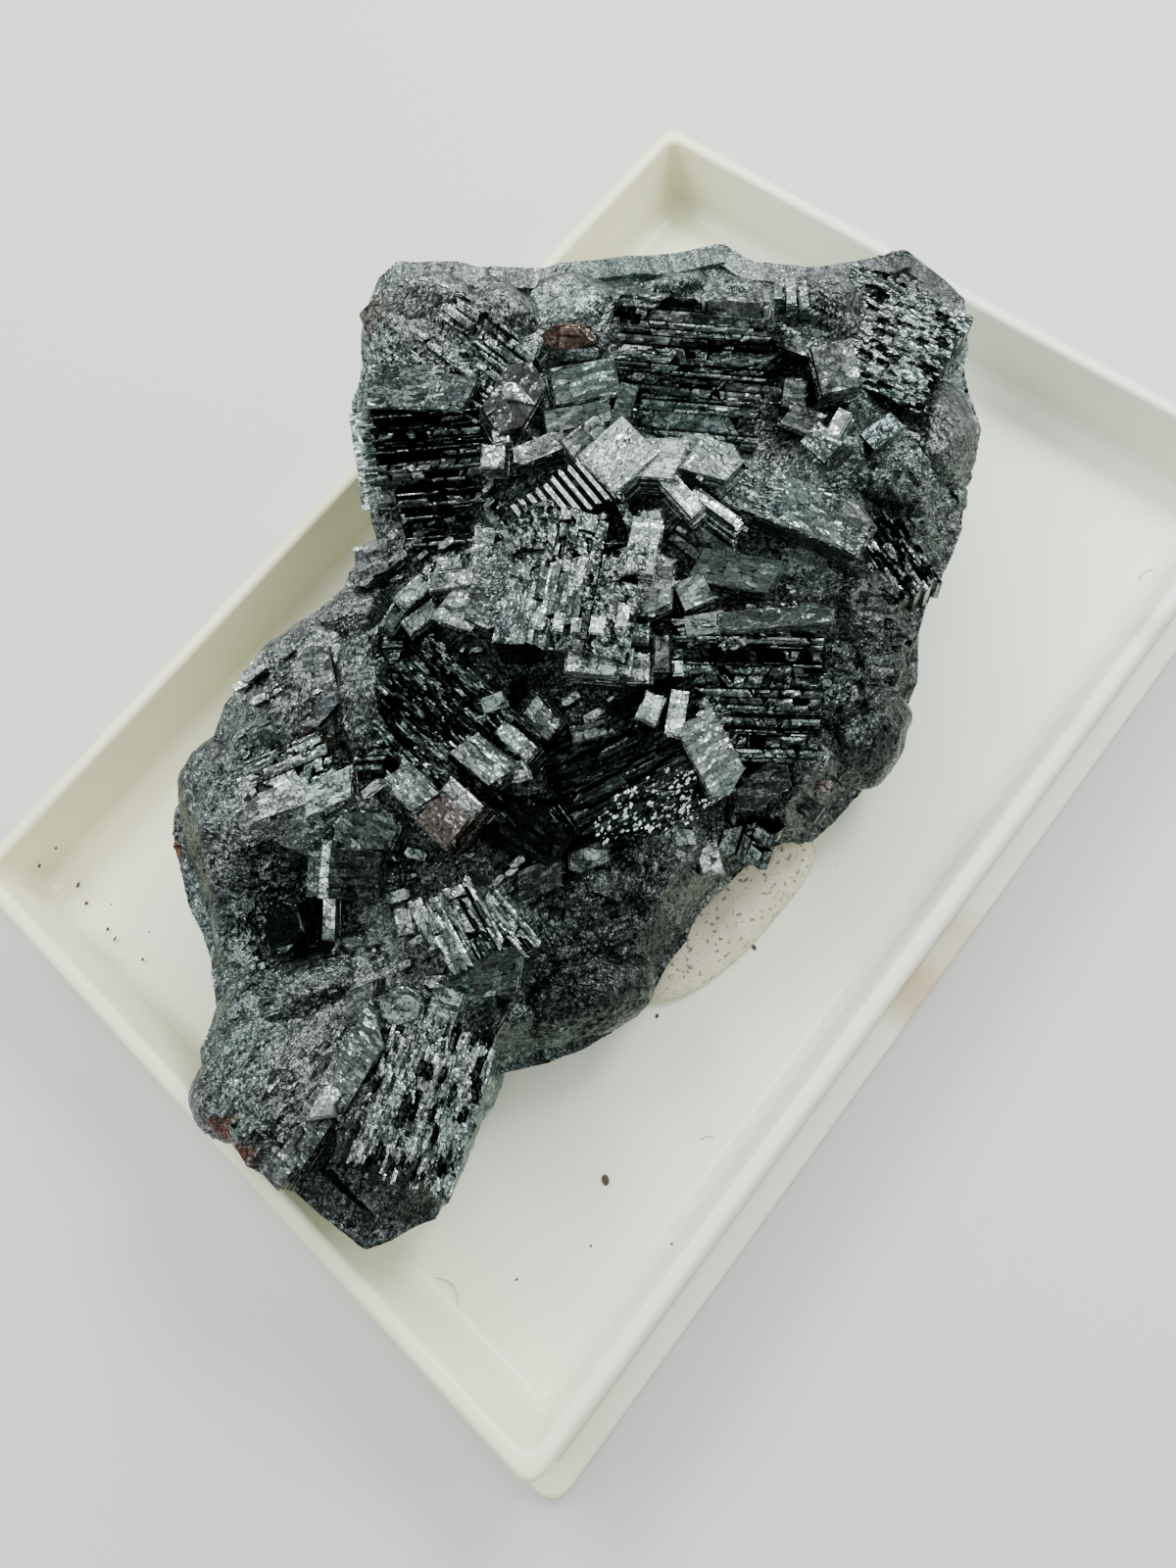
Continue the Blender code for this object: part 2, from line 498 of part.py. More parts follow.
def drop_pockets(obj):
    """Keep the largest closed skin of a mesh, so that no sealed pocket stays inside."""
    bm = bmesh.new()
    bm.from_mesh(obj.data)
    bmesh.ops.remove_doubles(bm, verts=bm.verts, dist=SLIVER * MM)
    bmesh.ops.triangulate(bm, faces=bm.faces)
    left = set(bm.verts)
    largest = set()
    while left:
        island = set()
        reached = [left.pop()]
        while reached:
            vert = reached.pop()
            island.add(vert)
            for edge in vert.link_edges:
                other = edge.other_vert(vert)
                if other in left:
                    left.remove(other)
                    reached.append(other)
        if len(island) > len(largest):
            largest = island
    bmesh.ops.delete(bm, geom=[v for v in bm.verts if v not in largest], context="VERTS")
    bm.to_mesh(obj.data)
    bm.free()


def boolean_step(obj, operation, other):
    """Join or cut an object with another one, which is then removed."""
    step = obj.modifiers.new(operation.lower(), "BOOLEAN")
    step.operation = operation
    step.solver = "EXACT"
    step.use_self = operation == "UNION"
    step.object = other
    depsgraph = bpy.context.evaluated_depsgraph_get()
    result = bpy.data.meshes.new_from_object(obj.evaluated_get(depsgraph))
    obj.modifiers.clear()
    obj.data = result
    bpy.data.objects.remove(other, do_unlink=True)


def make_hematite():
    """The massive body, lumps and crystals joined in one solid, clear of the putty."""
    rng = random.Random(7)
    body = bmesh.new()
    add_massive_body(body, rng)
    grown = bmesh.new()
    for at, radii, turn in LUMPS:
        add_lump(grown, at, radii, turn, rng)
    for group in (CREST, UPPER_RIGHT, MIDDLE, RIGHT_FLANK, LOWER_MIDDLE, LEFT_LOBE, LOWER_LOBE):
        for at, size, turn, tip, lean, shape in group:
            add_crystal(grown, at, size, turn, tip, lean, shape)
    for at, size, turn, tip, lean, count, ragged, steps in LATHED:
        add_laths(grown, at, size, turn, tip, lean, count, rng, ragged, steps)
    add_fins(grown)
    metal = material("hematite", (0.16, 0.17, 0.17), 0.35, 1.0)
    cluster = object_from(body, "hematite_cluster", metal)
    boolean_step(cluster, "UNION", object_from(grown, "crystals", metal))
    boolean_step(cluster, "DIFFERENCE", object_from(make_putty_mesh(GAP), "putty_room", metal))
    drop_pockets(cluster)
    place_in_box(cluster)
    return cluster


def main():
    clear_scene()
    make_box_base()
    make_putty()
    make_hematite()


main()
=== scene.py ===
import math

import bpy
import numpy as np
from mathutils import Matrix, Vector


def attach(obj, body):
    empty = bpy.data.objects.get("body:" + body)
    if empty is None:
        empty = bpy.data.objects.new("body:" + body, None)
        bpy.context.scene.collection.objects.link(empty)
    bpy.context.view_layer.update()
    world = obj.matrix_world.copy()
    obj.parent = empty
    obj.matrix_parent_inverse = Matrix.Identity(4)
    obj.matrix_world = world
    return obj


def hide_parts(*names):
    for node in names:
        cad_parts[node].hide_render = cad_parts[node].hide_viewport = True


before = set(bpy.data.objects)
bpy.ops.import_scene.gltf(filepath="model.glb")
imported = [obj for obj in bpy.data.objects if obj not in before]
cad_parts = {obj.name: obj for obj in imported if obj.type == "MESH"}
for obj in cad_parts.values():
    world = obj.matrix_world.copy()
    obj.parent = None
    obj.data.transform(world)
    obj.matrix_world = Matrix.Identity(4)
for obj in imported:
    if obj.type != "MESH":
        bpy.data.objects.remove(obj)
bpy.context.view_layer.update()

print("frame loaded")

# Lengths below are in millimetres; intoRow and rowPoints turn them to metres.
# The hematite is laid out in a frame of its own, turned and moved into the box.
mm = 0.001
specimenPlace = {"turn": -50.0, "spot": (0.0, 3.1), "highest": 37.7, "lowest": 3.45}


def rowPoints(points):
    return np.asarray(points, float) * mm


def turned(x, y, degrees):
    # (x cos a - y sin a, x sin a + y cos a)
    angle = math.radians(degrees)
    return x * math.cos(angle) - y * math.sin(angle), x * math.sin(angle) + y * math.cos(angle)


def intoRow(points):
    # turned, moved to the hematite's spot in the box, z held between two levels
    points = np.asarray(points, float)
    x, y = turned(points[..., 0], points[..., 1], specimenPlace["turn"])
    z = np.clip(points[..., 2], specimenPlace["lowest"], specimenPlace["highest"])
    return rowPoints(np.stack((x + specimenPlace["spot"][0], y + specimenPlace["spot"][1], z), -1))


# Meshes from whole arrays

def makePiece(name, points, quads, finish, tris=None, smooth=False, marks=None, uv=None):
    # points in metres, quads and tris as index rows; marks are one number a point by name
    tris = np.zeros((0, 3), int) if tris is None else tris
    loops = np.concatenate((quads.ravel(), tris.ravel())).astype(np.int32)
    starts = np.concatenate((np.arange(len(quads)) * 4, quads.size + np.arange(len(tris)) * 3))
    mesh = bpy.data.meshes.new(name)
    mesh.vertices.add(len(points))
    mesh.vertices.foreach_set("co", points.astype(np.float32).ravel())
    mesh.loops.add(len(loops))
    mesh.loops.foreach_set("vertex_index", loops)
    mesh.polygons.add(len(starts))
    mesh.polygons.foreach_set("loop_start", starts.astype(np.int32))
    mesh.update(calc_edges=True)
    for mark, values in (marks or {}).items():
        mesh.attributes.new(mark, "FLOAT", "POINT").data.foreach_set("value", values.astype(np.float32))
    if uv is not None:
        mesh.uv_layers.new(name="grain").data.foreach_set("uv", uv.astype(np.float32).ravel())
    mesh.polygons.foreach_set("use_smooth", np.full(len(starts), smooth))
    mesh.materials.append(finish)
    piece = bpy.data.objects.new(name, mesh)
    bpy.context.scene.collection.objects.link(piece)
    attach(piece, "root")
    return piece


def gridQuads(rows, columns, ring=False):
    # quad (i, j), (i, j+1), (i+1, j+1), (i+1, j); the columns join up, and in a ring the rows too
    i = np.arange(rows if ring else rows - 1)[:, None]
    j = np.arange(columns)[None, :]
    nextI, nextJ = (i + 1) % rows, (j + 1) % columns
    corners = (i * columns + j, i * columns + nextJ, nextI * columns + nextJ, nextI * columns + j)
    return np.stack([c + 0 * (i + j) for c in corners], -1).reshape(-1, 4)


def poleFan(ringStart, columns, pole, flip):
    # triangles from a ring of points to one pole point
    j = np.arange(columns)
    nextJ = (j + 1) % columns
    first, second = (nextJ, j) if flip else (j, nextJ)
    return np.stack((ringStart + first, ringStart + second, np.full(columns, pole)), -1)


def closedGrid(grid):
    # points, quads and triangles of a grid whose columns join up, with a pole at each end
    rows, columns = grid.shape[:2]
    count = rows * columns
    points = np.vstack((grid.reshape(-1, 3), grid[0].mean(0), grid[-1].mean(0)))
    tris = np.vstack((poleFan(0, columns, count, True), poleFan(count - columns, columns, count + 1, False)))
    return points, gridQuads(rows, columns), tris


def joinParts(parts):
    # the points, quads and triangles of several closed shapes, numbered as one
    allPoints, allQuads, allTris = zip(*parts)
    starts = np.cumsum([0] + [len(points) for points in allPoints])
    quads = np.vstack([quads + start for quads, start in zip(allQuads, starts)])
    tris = np.vstack([tris + start for tris, start in zip(allTris, starts)])
    return np.vstack(allPoints), quads, tris


def gridNormals(grid):
    # cross product of the differences along the two ways of a grid whose columns join up
    across = np.roll(grid, -1, 1) - np.roll(grid, 1, 1)
    along = np.gradient(grid, axis=0)
    normal = np.cross(across, along)
    return normal / np.maximum(np.linalg.norm(normal, axis=-1, keepdims=True), 1e-9)


def ballGrid(around, rows, lowest, highest):
    # (cos b cos a, cos b sin a, sin b) at each longitude a and latitude b
    longitude = np.linspace(0, 2 * np.pi, around, endpoint=False)[None, :]
    latitude = np.linspace(lowest, highest, rows)[:, None]
    return np.stack((np.cos(latitude) * np.cos(longitude), np.cos(latitude) * np.sin(longitude),
                     np.sin(latitude) + 0 * longitude), -1)


def unevenBall(ball, middle, radii, turn, uneven, size, salt):
    # middle + turned (radii * direction * (1 + uneven noise))
    shaped = ball * (1 + uneven * softNoise(ball, size, salt))[..., None] * radii
    x, y = turned(shaped[..., 0], shaped[..., 1], turn)
    return np.stack((x, y, shaped[..., 2]), -1) + middle


def evenSteps(corners, count):
    # points at even steps along a closed outline
    ends = np.vstack((corners, corners[:1]))
    span = np.r_[0, np.cumsum(np.hypot(*np.diff(ends[:, :2], axis=0).T))]
    at = np.linspace(0, span[-1], count, endpoint=False)
    return np.stack([np.interp(at, span, column) for column in ends.T], -1)


def drawnIn(rim, middle, reach):
    # x and y of middle + reach (rim - middle), a row for each reach
    reach = reach[:, None]
    return middle[0] + reach * (rim[:, 0] - middle[0]), middle[1] + reach * (rim[:, 1] - middle[1])


# Steady chance: hashes, smooth noise and a mosaic of tilted facets

# how far a cell's centre may lie from its middle
cellWander = 0.42


def hashed(cells, salt):
    # fraction of sin(i*12.9898 + j*78.233 + k*37.719 + salt) * 43758.5453
    mix = cells[..., 0] * 12.9898 + cells[..., 1] * 78.233 + cells[..., 2] * 37.719 + salt * 4.137
    value = np.sin(mix) * 43758.5453
    return value - np.floor(value)


def smoothStep(t):
    # 3t^2 - 2t^3 between 0 and 1
    t = np.clip(t, 0.0, 1.0)
    return t * t * (3 - 2 * t)


def softNoise(points, size, salt):
    # hashed corners of a lattice, blended with the smooth step, from -1 to 1
    q = points / size
    base = np.floor(q)
    t = smoothStep(q - base)
    total = 0.0
    for corner in ((0, 0, 0), (1, 0, 0), (0, 1, 0), (1, 1, 0), (0, 0, 1), (1, 0, 1), (0, 1, 1), (1, 1, 1)):
        weight = 1.0
        for axis in range(3):
            weight = weight * (t[..., axis] if corner[axis] else 1 - t[..., axis])
        total = total + weight * hashed(base + np.array(corner), salt)
    return total * 2 - 1


def mosaic(q, salt, flat=False):
    # each point takes the facet of the nearest cell, by the largest of its three distances:
    # value of the cell, tilt of the cell times the offset, and the room to the next cell
    base = np.floor(q)
    nearest = np.full(len(q), 9.0)
    second = np.full(len(q), 9.0)
    value = np.zeros(len(q))
    slope = np.zeros(len(q))
    for dx in (-1, 0, 1):
        for dy in (-1, 0, 1):
            for dz in ((0,) if flat else (-1, 0, 1)):
                cell = base + np.array((dx, dy, dz))
                chance = [hashed(cell, salt + k) for k in range(3)]
                centre = cell + 0.5 + cellWander * (2 * np.stack(chance, -1) - 1)
                offset = q - centre
                offset[:, 2] *= not flat
                distance = np.abs(offset).max(axis=1)
                closer = distance < nearest
                second = np.where(closer, nearest, np.minimum(second, distance))
                nearest = np.where(closer, distance, nearest)
                value = np.where(closer, (chance[0] * 7.31 + chance[1] * 3.17) % 1.0, value)
                tilt = offset[:, 0] * (chance[1] - 0.5) + offset[:, 1] * (chance[2] - 0.5)
                slope = np.where(closer, tilt + offset[:, 2] * (chance[0] - 0.5), slope)
    return value, slope, second - nearest


# Finishes

class Surface:
    # the nodes of one material, or of the world, added in short ways
    def __init__(self, owner, coordinates="Object"):
        owner.use_nodes = True
        self.owner, self.nodes, self.links = owner, owner.node_tree.nodes, owner.node_tree.links
        self.place = self.add("TexCoord").outputs[coordinates]

    def feed(self, node, values):
        for name, value in values.items():
            if isinstance(value, bpy.types.NodeSocket):
                self.links.new(value, node.inputs[name])
            else:
                node.inputs[name].default_value = value

    def shade(self, values):
        # values or nodes on the shader's own sockets
        self.feed(self.nodes["Principled BSDF"], values)
        return self.owner

    def add(self, kind, values=None, **settings):
        node = self.nodes.new("ShaderNode" + kind)
        for name, value in settings.items():
            setattr(node, name, value)
        self.feed(node, values or {})
        return node

    def sum(self, operation, first, second=0.0, third=0.0, clamp=False):
        values = {0: first, 1: second, 2: third}
        return self.add("Math", values, operation=operation, use_clamp=clamp).outputs[0]

    def spread(self, light, value, amount):
        # light + amount * (value - 0.5)
        return self.sum("ADD", light, self.sum("MULTIPLY_ADD", value, amount, -0.5 * amount))

    def vector(self, operation, first, second=(0.0, 0.0, 0.0)):
        node = self.add("VectorMath", {0: first, 1: second}, operation=operation)
        return node.outputs["Value" if operation in ("DISTANCE", "DOT_PRODUCT") else "Vector"]

    def tilt(self, normal, colour, amount):
        # normal + amount * (colour - 0.5)
        centred = self.vector("SUBTRACT", colour, (0.5, 0.5, 0.5))
        small = self.add("VectorMath", {0: centred, "Scale": amount}, operation="SCALE")
        return self.vector("ADD", normal, small.outputs[0])

    def parts(self, vector):
        return self.add("SeparateXYZ", {0: vector}).outputs

    def mix(self, share, first, second, blend="MIX"):
        # each colour is a node's or three numbers
        first, second = ((*c, 1.0) if isinstance(c, tuple) else c for c in (first, second))
        return self.add("Mix", {0: share, 6: first, 7: second}, data_type="RGBA", blend_type=blend).outputs[2]

    def noise(self, scale, detail=2.0, rough=0.5, at=None):
        at = self.place if at is None else at
        values = {"Vector": at, "Scale": scale, "Detail": detail, "Roughness": rough}
        return self.add("TexNoise", values).outputs[0]

    def ramp(self, share, stops):
        # stops: (place, grey) or (place, (r, g, b))
        node = self.add("ValToRGB", {0: share})
        elements = node.color_ramp.elements
        while len(elements) < len(stops):
            elements.new(0.5)
        for element, (place, colour) in zip(elements, stops):
            element.position = place
            element.color = (*(colour if isinstance(colour, tuple) else (colour,) * 3), 1.0)
        return node.outputs[0]

    def stretched(self, coordinates, scale):
        return self.add("Mapping", {"Vector": coordinates, "Scale": scale}).outputs[0]

    def cells(self, coordinates, scale, solid):
        # colour of each cell and the room to the next; round cells through a solid, or
        # square-cornered ones over a face, where the larger of the two distances counts
        values = {"Vector": coordinates, "Scale": scale, "Randomness": 0.85}
        near, far = (self.add("TexVoronoi", values, voronoi_dimensions="3D" if solid else "2D",
                              distance="EUCLIDEAN" if solid else "CHEBYCHEV", feature=feature)
                     for feature in ("F1", "F2"))
        room = self.sum("SUBTRACT", far.outputs["Distance"], near.outputs["Distance"])
        return near.outputs["Color"], room

    def bump(self, height, strength, distance):
        return self.add("Bump", {"Height": height, "Strength": strength, "Distance": distance}).outputs[0]


def newFinish(name):
    return Surface(bpy.data.materials.new(name))


# what both finishes of the hematite share: noise sizes, widths of the painted shade in the cracks, tints and
# bump
metalShared = {
    "cloud": (220.0, 3.0), "fineScale": 2.7, "crackShadeWide": 0.10, "fineCrackShadeWide": 0.12, "bump": 0.000014,
    "tint": (95.0, 2.0), "tintStops": ((0.38, 0.0), (0.60, 1.0)),
    "green": (0.88, 1.0, 0.975), "violet": (1.0, 0.985, 1.0),
}


def oreFinish(name, look):
    # steel-grey metal: light and dark by the mark "tone", brown by the mark "rust"; square
    # cells of two sizes along the face, each tilted and toned its own way, with painted shade
    # darkening the cracks between them, fine lines along the face and tiny cells that sparkle
    finish = newFinish(name)
    solid = look["solidCells"] > 0
    if solid:
        face = finish.stretched(finish.place, (look["solidCells"],) * 3)
    else:
        face = finish.add("UVMap", uv_map="grain").outputs[0]
    tone, rust = (finish.add("Attribute", attribute_name=mark).outputs["Fac"] for mark in ("tone", "rust"))
    blocks, blockRoom = finish.cells(face, 1.0, solid)
    fine, fineRoom = finish.cells(face, metalShared["fineScale"], solid)
    cloud = finish.noise(*metalShared["cloud"])
    fineValue = finish.parts(fine)

    light = finish.spread(tone, cloud, look["cloud"])
    light = finish.spread(light, finish.parts(blocks)[0], look["block"])
    light = finish.spread(light, fineValue[0], look["fine"])
    metal = finish.ramp(finish.sum("ADD", light, clamp=True), look["metal"])
    tint = finish.ramp(finish.noise(*metalShared["tint"]), metalShared["tintStops"])
    tint = finish.mix(tint, metalShared["green"], metalShared["violet"])
    metal = finish.mix(1.0, metal, tint, "MULTIPLY")
    colour = finish.mix(rust, metal, finish.mix(cloud, *look["brown"]))
    # painted shade: the cracks between the cells are darkened in the colour, for the shade inside them
    crackShade = finish.ramp(blockRoom, ((0.0, look["crackShade"]), (metalShared["crackShadeWide"], 1.0)))
    fineCrackShade = finish.ramp(fineRoom, ((0.0, look["fineCrackShade"]), (metalShared["fineCrackShadeWide"], 1.0)))
    colour = finish.mix(1.0, colour, crackShade, "MULTIPLY")
    colour = finish.mix(1.0, colour, fineCrackShade, "MULTIPLY")
    rough = finish.ramp(fineValue[1], ((0.1, look["rough"][0]), (0.9, look["rough"][1])))

    lines = finish.noise(1.0, 3.0, 0.6, finish.stretched(face, look["lines"]))
    normal = finish.bump(lines, look["lineDepth"], metalShared["bump"])
    sparkle = finish.add("TexVoronoi", {"Vector": finish.place, "Scale": look["sparkleCells"]})
    normal = finish.tilt(normal, blocks, look["blockTilt"])
    normal = finish.tilt(normal, fine, look["fineTilt"])
    normal = finish.tilt(normal, sparkle.outputs["Color"], look["sparkle"])
    normal = finish.vector("NORMALIZE", normal)
    return finish.shade({"Base Color": colour, "Metallic": 1.0, "Roughness": rough, "Normal": normal})


crystalLook = {
    "brown": ((0.06, 0.044, 0.035), (0.20, 0.145, 0.115)),
    "metal": ((0.0, (0.006, 0.008, 0.008)), (0.38, (0.065, 0.080, 0.077)), (0.70, (0.29, 0.335, 0.32)),
              (1.0, (0.86, 0.94, 0.90))),
    "cloud": 0.10, "block": 0.26, "fine": 0.10, "crackShade": 0.05, "fineCrackShade": 0.72, "rough": (0.10, 0.26),
    "lines": (0.8, 8.0, 1.0), "lineDepth": 0.35, "blockTilt": 0.22, "fineTilt": 0.12,
    "sparkle": 0.30, "sparkleCells": 4800.0, "solidCells": 0.0,
}
oreLook = {
    "brown": ((0.05, 0.020, 0.015), (0.20, 0.085, 0.055)),
    "metal": ((0.0, (0.010, 0.013, 0.013)), (0.38, (0.085, 0.100, 0.097)), (0.72, (0.25, 0.285, 0.275)),
              (1.0, (0.66, 0.73, 0.70))),
    "cloud": 0.24, "block": 0.22, "fine": 0.30, "crackShade": 0.30, "fineCrackShade": 0.55, "rough": (0.24, 0.48),
    "lines": (1.0, 1.0, 1.0), "lineDepth": 0.3, "blockTilt": 0.28, "fineTilt": 0.42,
    "sparkle": 0.40, "sparkleCells": 6000.0, "solidCells": 2900.0,
}
crystalFinish = oreFinish("bright_hematite", crystalLook)
oreGrainFinish = oreFinish("granular_hematite", oreLook)
print("finishes made")

# The massive hematite

massive = {
    "centre": (-5.0, -8.0), "insideZ": 10.0, "breakZ": 3.4, "topBlend": 0.14, "deep": 2.5, "salt": 3,
    "wall": ((0.80, 0.0), (0.90, 0.30), (0.965, 0.66), (1.0, 1.0)),
    "wallAround": 900, "wallRings": 40, "wallSoft": 0.15, "topSoft": 1, "softRows": 8,
    # outer reach, inner reach, points around and rings of each band over the top
    "bands": ((1.0, 0.72, 1180, 46), (0.72, 0.44, 840, 44), (0.44, 0.03, 460, 62)),
    # rows and columns between kept places for growth, and the outermost rows without any
    "everyRow": 2, "everyColumn": 3, "bareRows": 7,
}
# widest outline, clockwise: x, y and the height where it is widest
outline = np.array([
    (-17, 30, 34), (-15, 31, 35), (-9, 30.5, 35), (-7.5, 30.5, 34), (-1, 31, 32), (4, 33, 30),
    (9.5, 34.5, 28), (15, 35.5, 27), (18, 34, 26), (24, 33.5, 25), (32.5, 36.5, 22), (36, 34.5, 20),
    (38, 32, 20), (37.5, 28.5, 19), (37, 25, 19), (38, 18.5, 18), (36, 13, 17), (35.5, 9, 16),
    (34.5, 7, 15), (32, 3.5, 14), (31, 0, 13), (30.5, -4, 12), (28, -9, 11), (25.5, -13, 10),
    (22.5, -16, 9), (20, -18, 9), (17, -17.5, 9), (13.5, -20.5, 9), (10, -24, 10), (7, -28, 10),
    (4, -33, 10), (-0.5, -35.5, 10), (-4, -37, 10), (-8.5, -38, 11), (-9, -42, 14), (-10.5, -44.5, 14),
    (-12.5, -49, 15), (-15.5, -50.5, 17), (-17.5, -51, 17), (-21, -49, 18), (-23.5, -47, 19),
    (-27, -45.5, 20), (-29.5, -42.5, 20), (-32, -39, 19), (-33, -36.5, 18), (-32, -33, 17),
    (-33.5, -29, 16), (-36.5, -24, 16), (-38, -18.5, 17), (-38, -16, 18), (-36, -14, 19), (-34, -9.5, 20),
    (-33, -7, 21), (-29, -3, 23), (-25.5, -0.5, 24), (-21, 2.5, 25), (-20, 4, 26), (-17.5, 5.5, 27),
    (-18, 8, 28), (-18.5, 12.5, 29), (-19.5, 16, 30), (-19.5, 18.5, 31), (-18.5, 22, 32), (-19, 25, 32),
    (-18, 28, 33),
], float)
# heights between the crystals: x, y, z
surfaceSpots = np.array([
    (-12, 27, 36), (-7, 20, 34), (-13, 10, 26), (-3, 14, 32), (3, 27, 32), (12, 31, 28), (12, 18, 28),
    (21, 27, 27), (29, 27, 24), (34, 20, 20), (31, 13, 21), (24, 14, 27), (2, 8, 29), (10, 7, 30),
    (20, 5, 26), (30, 5, 17), (0, -2, 29), (8, -4, 25), (16, -7, 24), (24, -8, 16), (7, -15, 20),
    (-4, -13, 23), (-10, -13, 24), (14, -17, 14), (1, -22, 17), (1, -28, 14), (-9, -28, 20), (-17, -7, 24),
    (-24, -7, 26), (-31, -13, 22), (-24, -16, 24), (-19, -24, 20), (-25, -27, 15), (-24, -32, 20),
    (-30, -36, 20), (-28, -41, 22), (-17, -40, 23), (-11, -41, 20), (-17, -48, 18), (-5, -33, 15),
], float)
# how the grains lie: x, y, turn, length, width, depth of relief, tone
grainSpots = np.array([
    (-12, 27, 0, 0.7, 0.6, 0.25, 0.55), (0, 27, 0, 0.7, 0.6, 0.25, 0.55), (10, 30, 0, 0.7, 0.6, 0.22, 0.5),
    (18, 30, 10, 0.8, 0.6, 0.3, 0.5), (26, 30, -35, 1.5, 0.5, 0.6, 0.45),
    (34, 27, -35, 1.6, 0.5, 0.5, 0.47), (31, 20, -35, 1.5, 0.5, 0.5, 0.46),
    (24, 22, -50, 0.8, 0.6, 0.4, 0.35), (35, 12, -60, 1.4, 0.45, 0.5, 0.42),
    (30, 6, -62, 1.6, 0.45, 0.6, 0.42), (20, 8, -30, 0.8, 0.6, 0.4, 0.42),
    (31, 0, -70, 1.2, 0.5, 0.4, 0.35), (26, -7, 20, 0.7, 0.6, 0.3, 0.16),
    (18, -14, 60, 1.0, 0.4, 0.5, 0.35), (10, -18, 60, 0.9, 0.5, 0.5, 0.35),
    (0, -28, 30, 0.6, 0.45, 0.35, 0.16), (-8, -33, 70, 0.8, 0.5, 0.4, 0.28),
    (-6, -22, 20, 0.8, 0.5, 0.5, 0.2), (-18, 22, -50, 1.4, 0.5, 0.5, 0.5), (-12, 12, 0, 1.4, 0.5, 0.7, 0.3),
    (0, 16, 10, 0.9, 0.6, 0.5, 0.4), (0, 5, 40, 0.9, 0.5, 0.5, 0.3), (-10, 2, 20, 0.9, 0.5, 0.5, 0.3),
    (-22, -4, 25, 1.2, 0.5, 0.45, 0.44), (-28, -10, 30, 1.3, 0.6, 0.4, 0.42),
    (-20, -8, 0, 1.5, 0.4, 0.45, 0.35), (-33, -18, 60, 1.2, 0.5, 0.5, 0.38),
    (-26, -16, 20, 1.6, 0.4, 0.4, 0.65), (-28, -24, 0, 1.0, 0.5, 0.7, 0.25),
    (-30, -30, 30, 1.0, 0.6, 0.4, 0.4), (-24, -33, 10, 0.9, 0.5, 0.5, 0.4),
    (-30, -40, 55, 1.6, 0.6, 0.4, 0.42), (-20, -40, 50, 1.8, 0.5, 0.4, 0.45),
    (-12, -42, 70, 0.8, 0.45, 0.45, 0.55), (-16, -49, 20, 0.7, 0.5, 0.5, 0.2),
    (-10, -12, -42, 1.2, 0.4, 0.5, 0.25), (12, -8, 0, 1.0, 0.5, 0.6, 0.3),
    (15, 20, -12, 2.2, 0.6, 0.6, 0.4), (6, -4, 70, 1.0, 0.4, 0.5, 0.35),
])
# red-brown spots on the massive hematite: x, y, z, size
rustSpots = [
    (-29.5, -43.0, 19.6, 1.2), (-27.5, -44.9, 19.6, 1.0), (-30.2, -42.1, 19.2, 0.7),
    (-19.2, 27.6, 33.0, 1.0), (-22.2, -11.8, 25.4, 1.3), (-37.6, -19.4, 16.8, 0.7),
]


# relief of the ore: how tall its cells are, how much finer the second size is, the depth and
# tone of both sizes, the share of depth in smooth patches and their size, and the broad
# waves: height, size and salt of each
oreFacets = {"tall": 1.3, "finer": 2.3, "depth": (0.62, 0.3), "tones": (0.28, 0.26), "smooth": 0.25,
             "patches": 3.4, "waves": ((0.5, 4.5, 21), (0.2, 1.9, 22))}


def surfaceHeight(x, y):
    # heights of the spots, each weighed by its distance to the power of minus three
    distance = np.hypot(x[..., None] - surfaceSpots[:, 0], y[..., None] - surfaceSpots[:, 1]) + 0.5
    weight = distance ** -3
    return (weight * surfaceSpots[:, 2]).sum(-1) / weight.sum(-1)


def nearestSpot(points):
    gap = (points[:, None, 0] - grainSpots[:, 0]) ** 2 + (points[:, None, 1] - grainSpots[:, 1]) ** 2
    return grainSpots[np.argmin(gap, axis=1)]


def oreRelief(points, salt):
    # two sizes of tilted facets, long along the grain of the nearest spot: the height to
    # add along the normal, and how light each facet is
    flat = points.reshape(-1, 3)
    spot = nearestSpot(flat)
    angle = np.radians(spot[:, 2])
    u = flat[:, 0] * np.cos(angle) + flat[:, 1] * np.sin(angle)
    v = -flat[:, 0] * np.sin(angle) + flat[:, 1] * np.cos(angle)
    o = oreFacets
    cell = np.stack((u / spot[:, 3], v / spot[:, 4], flat[:, 2] / (o["tall"] * spot[:, 4])), -1)
    value, slope, room = mosaic(cell, salt)
    fine, fineSlope = mosaic(cell * o["finer"] + 5.2, salt + 9)[:2]
    rough = smoothStep(softNoise(flat, o["patches"], salt + 4) + 0.35)
    depth = spot[:, 5] * (o["smooth"] + (1 - o["smooth"]) * rough)
    height = o["depth"][0] * depth * (value - 0.75 + 0.8 * slope - 0.5 * np.exp(-room * 9))
    height += o["depth"][1] * depth * (fine - 0.7 + 0.9 * fineSlope)
    broad = sum(high * softNoise(flat, size, salt + extra) for high, size, extra in o["waves"])
    tone = spot[:, 6] + o["tones"][0] * (value - 0.5) + o["tones"][1] * (fine - 0.5)
    shape = points.shape[:-1]
    return (height + broad).reshape(shape), np.clip(tone, 0, 1).reshape(shape)


def rustOn(points):
    # brown where rust has grown: ragged spots that fade outwards
    total = np.zeros(points.shape[:-1])
    for x, y, z, size in rustSpots:
        away = np.linalg.norm(points - (x, y, z), axis=-1) / size
        total += np.clip(1.6 - away ** 2 + 0.9 * softNoise(points, 0.5, 91), 0, 1)
    return np.clip(total, 0, 1) * 0.9


def rimPoints(count):
    # the outline, anticlockwise, at even steps along it
    return evenSteps(np.roll(outline[::-1], 1, 0), count)


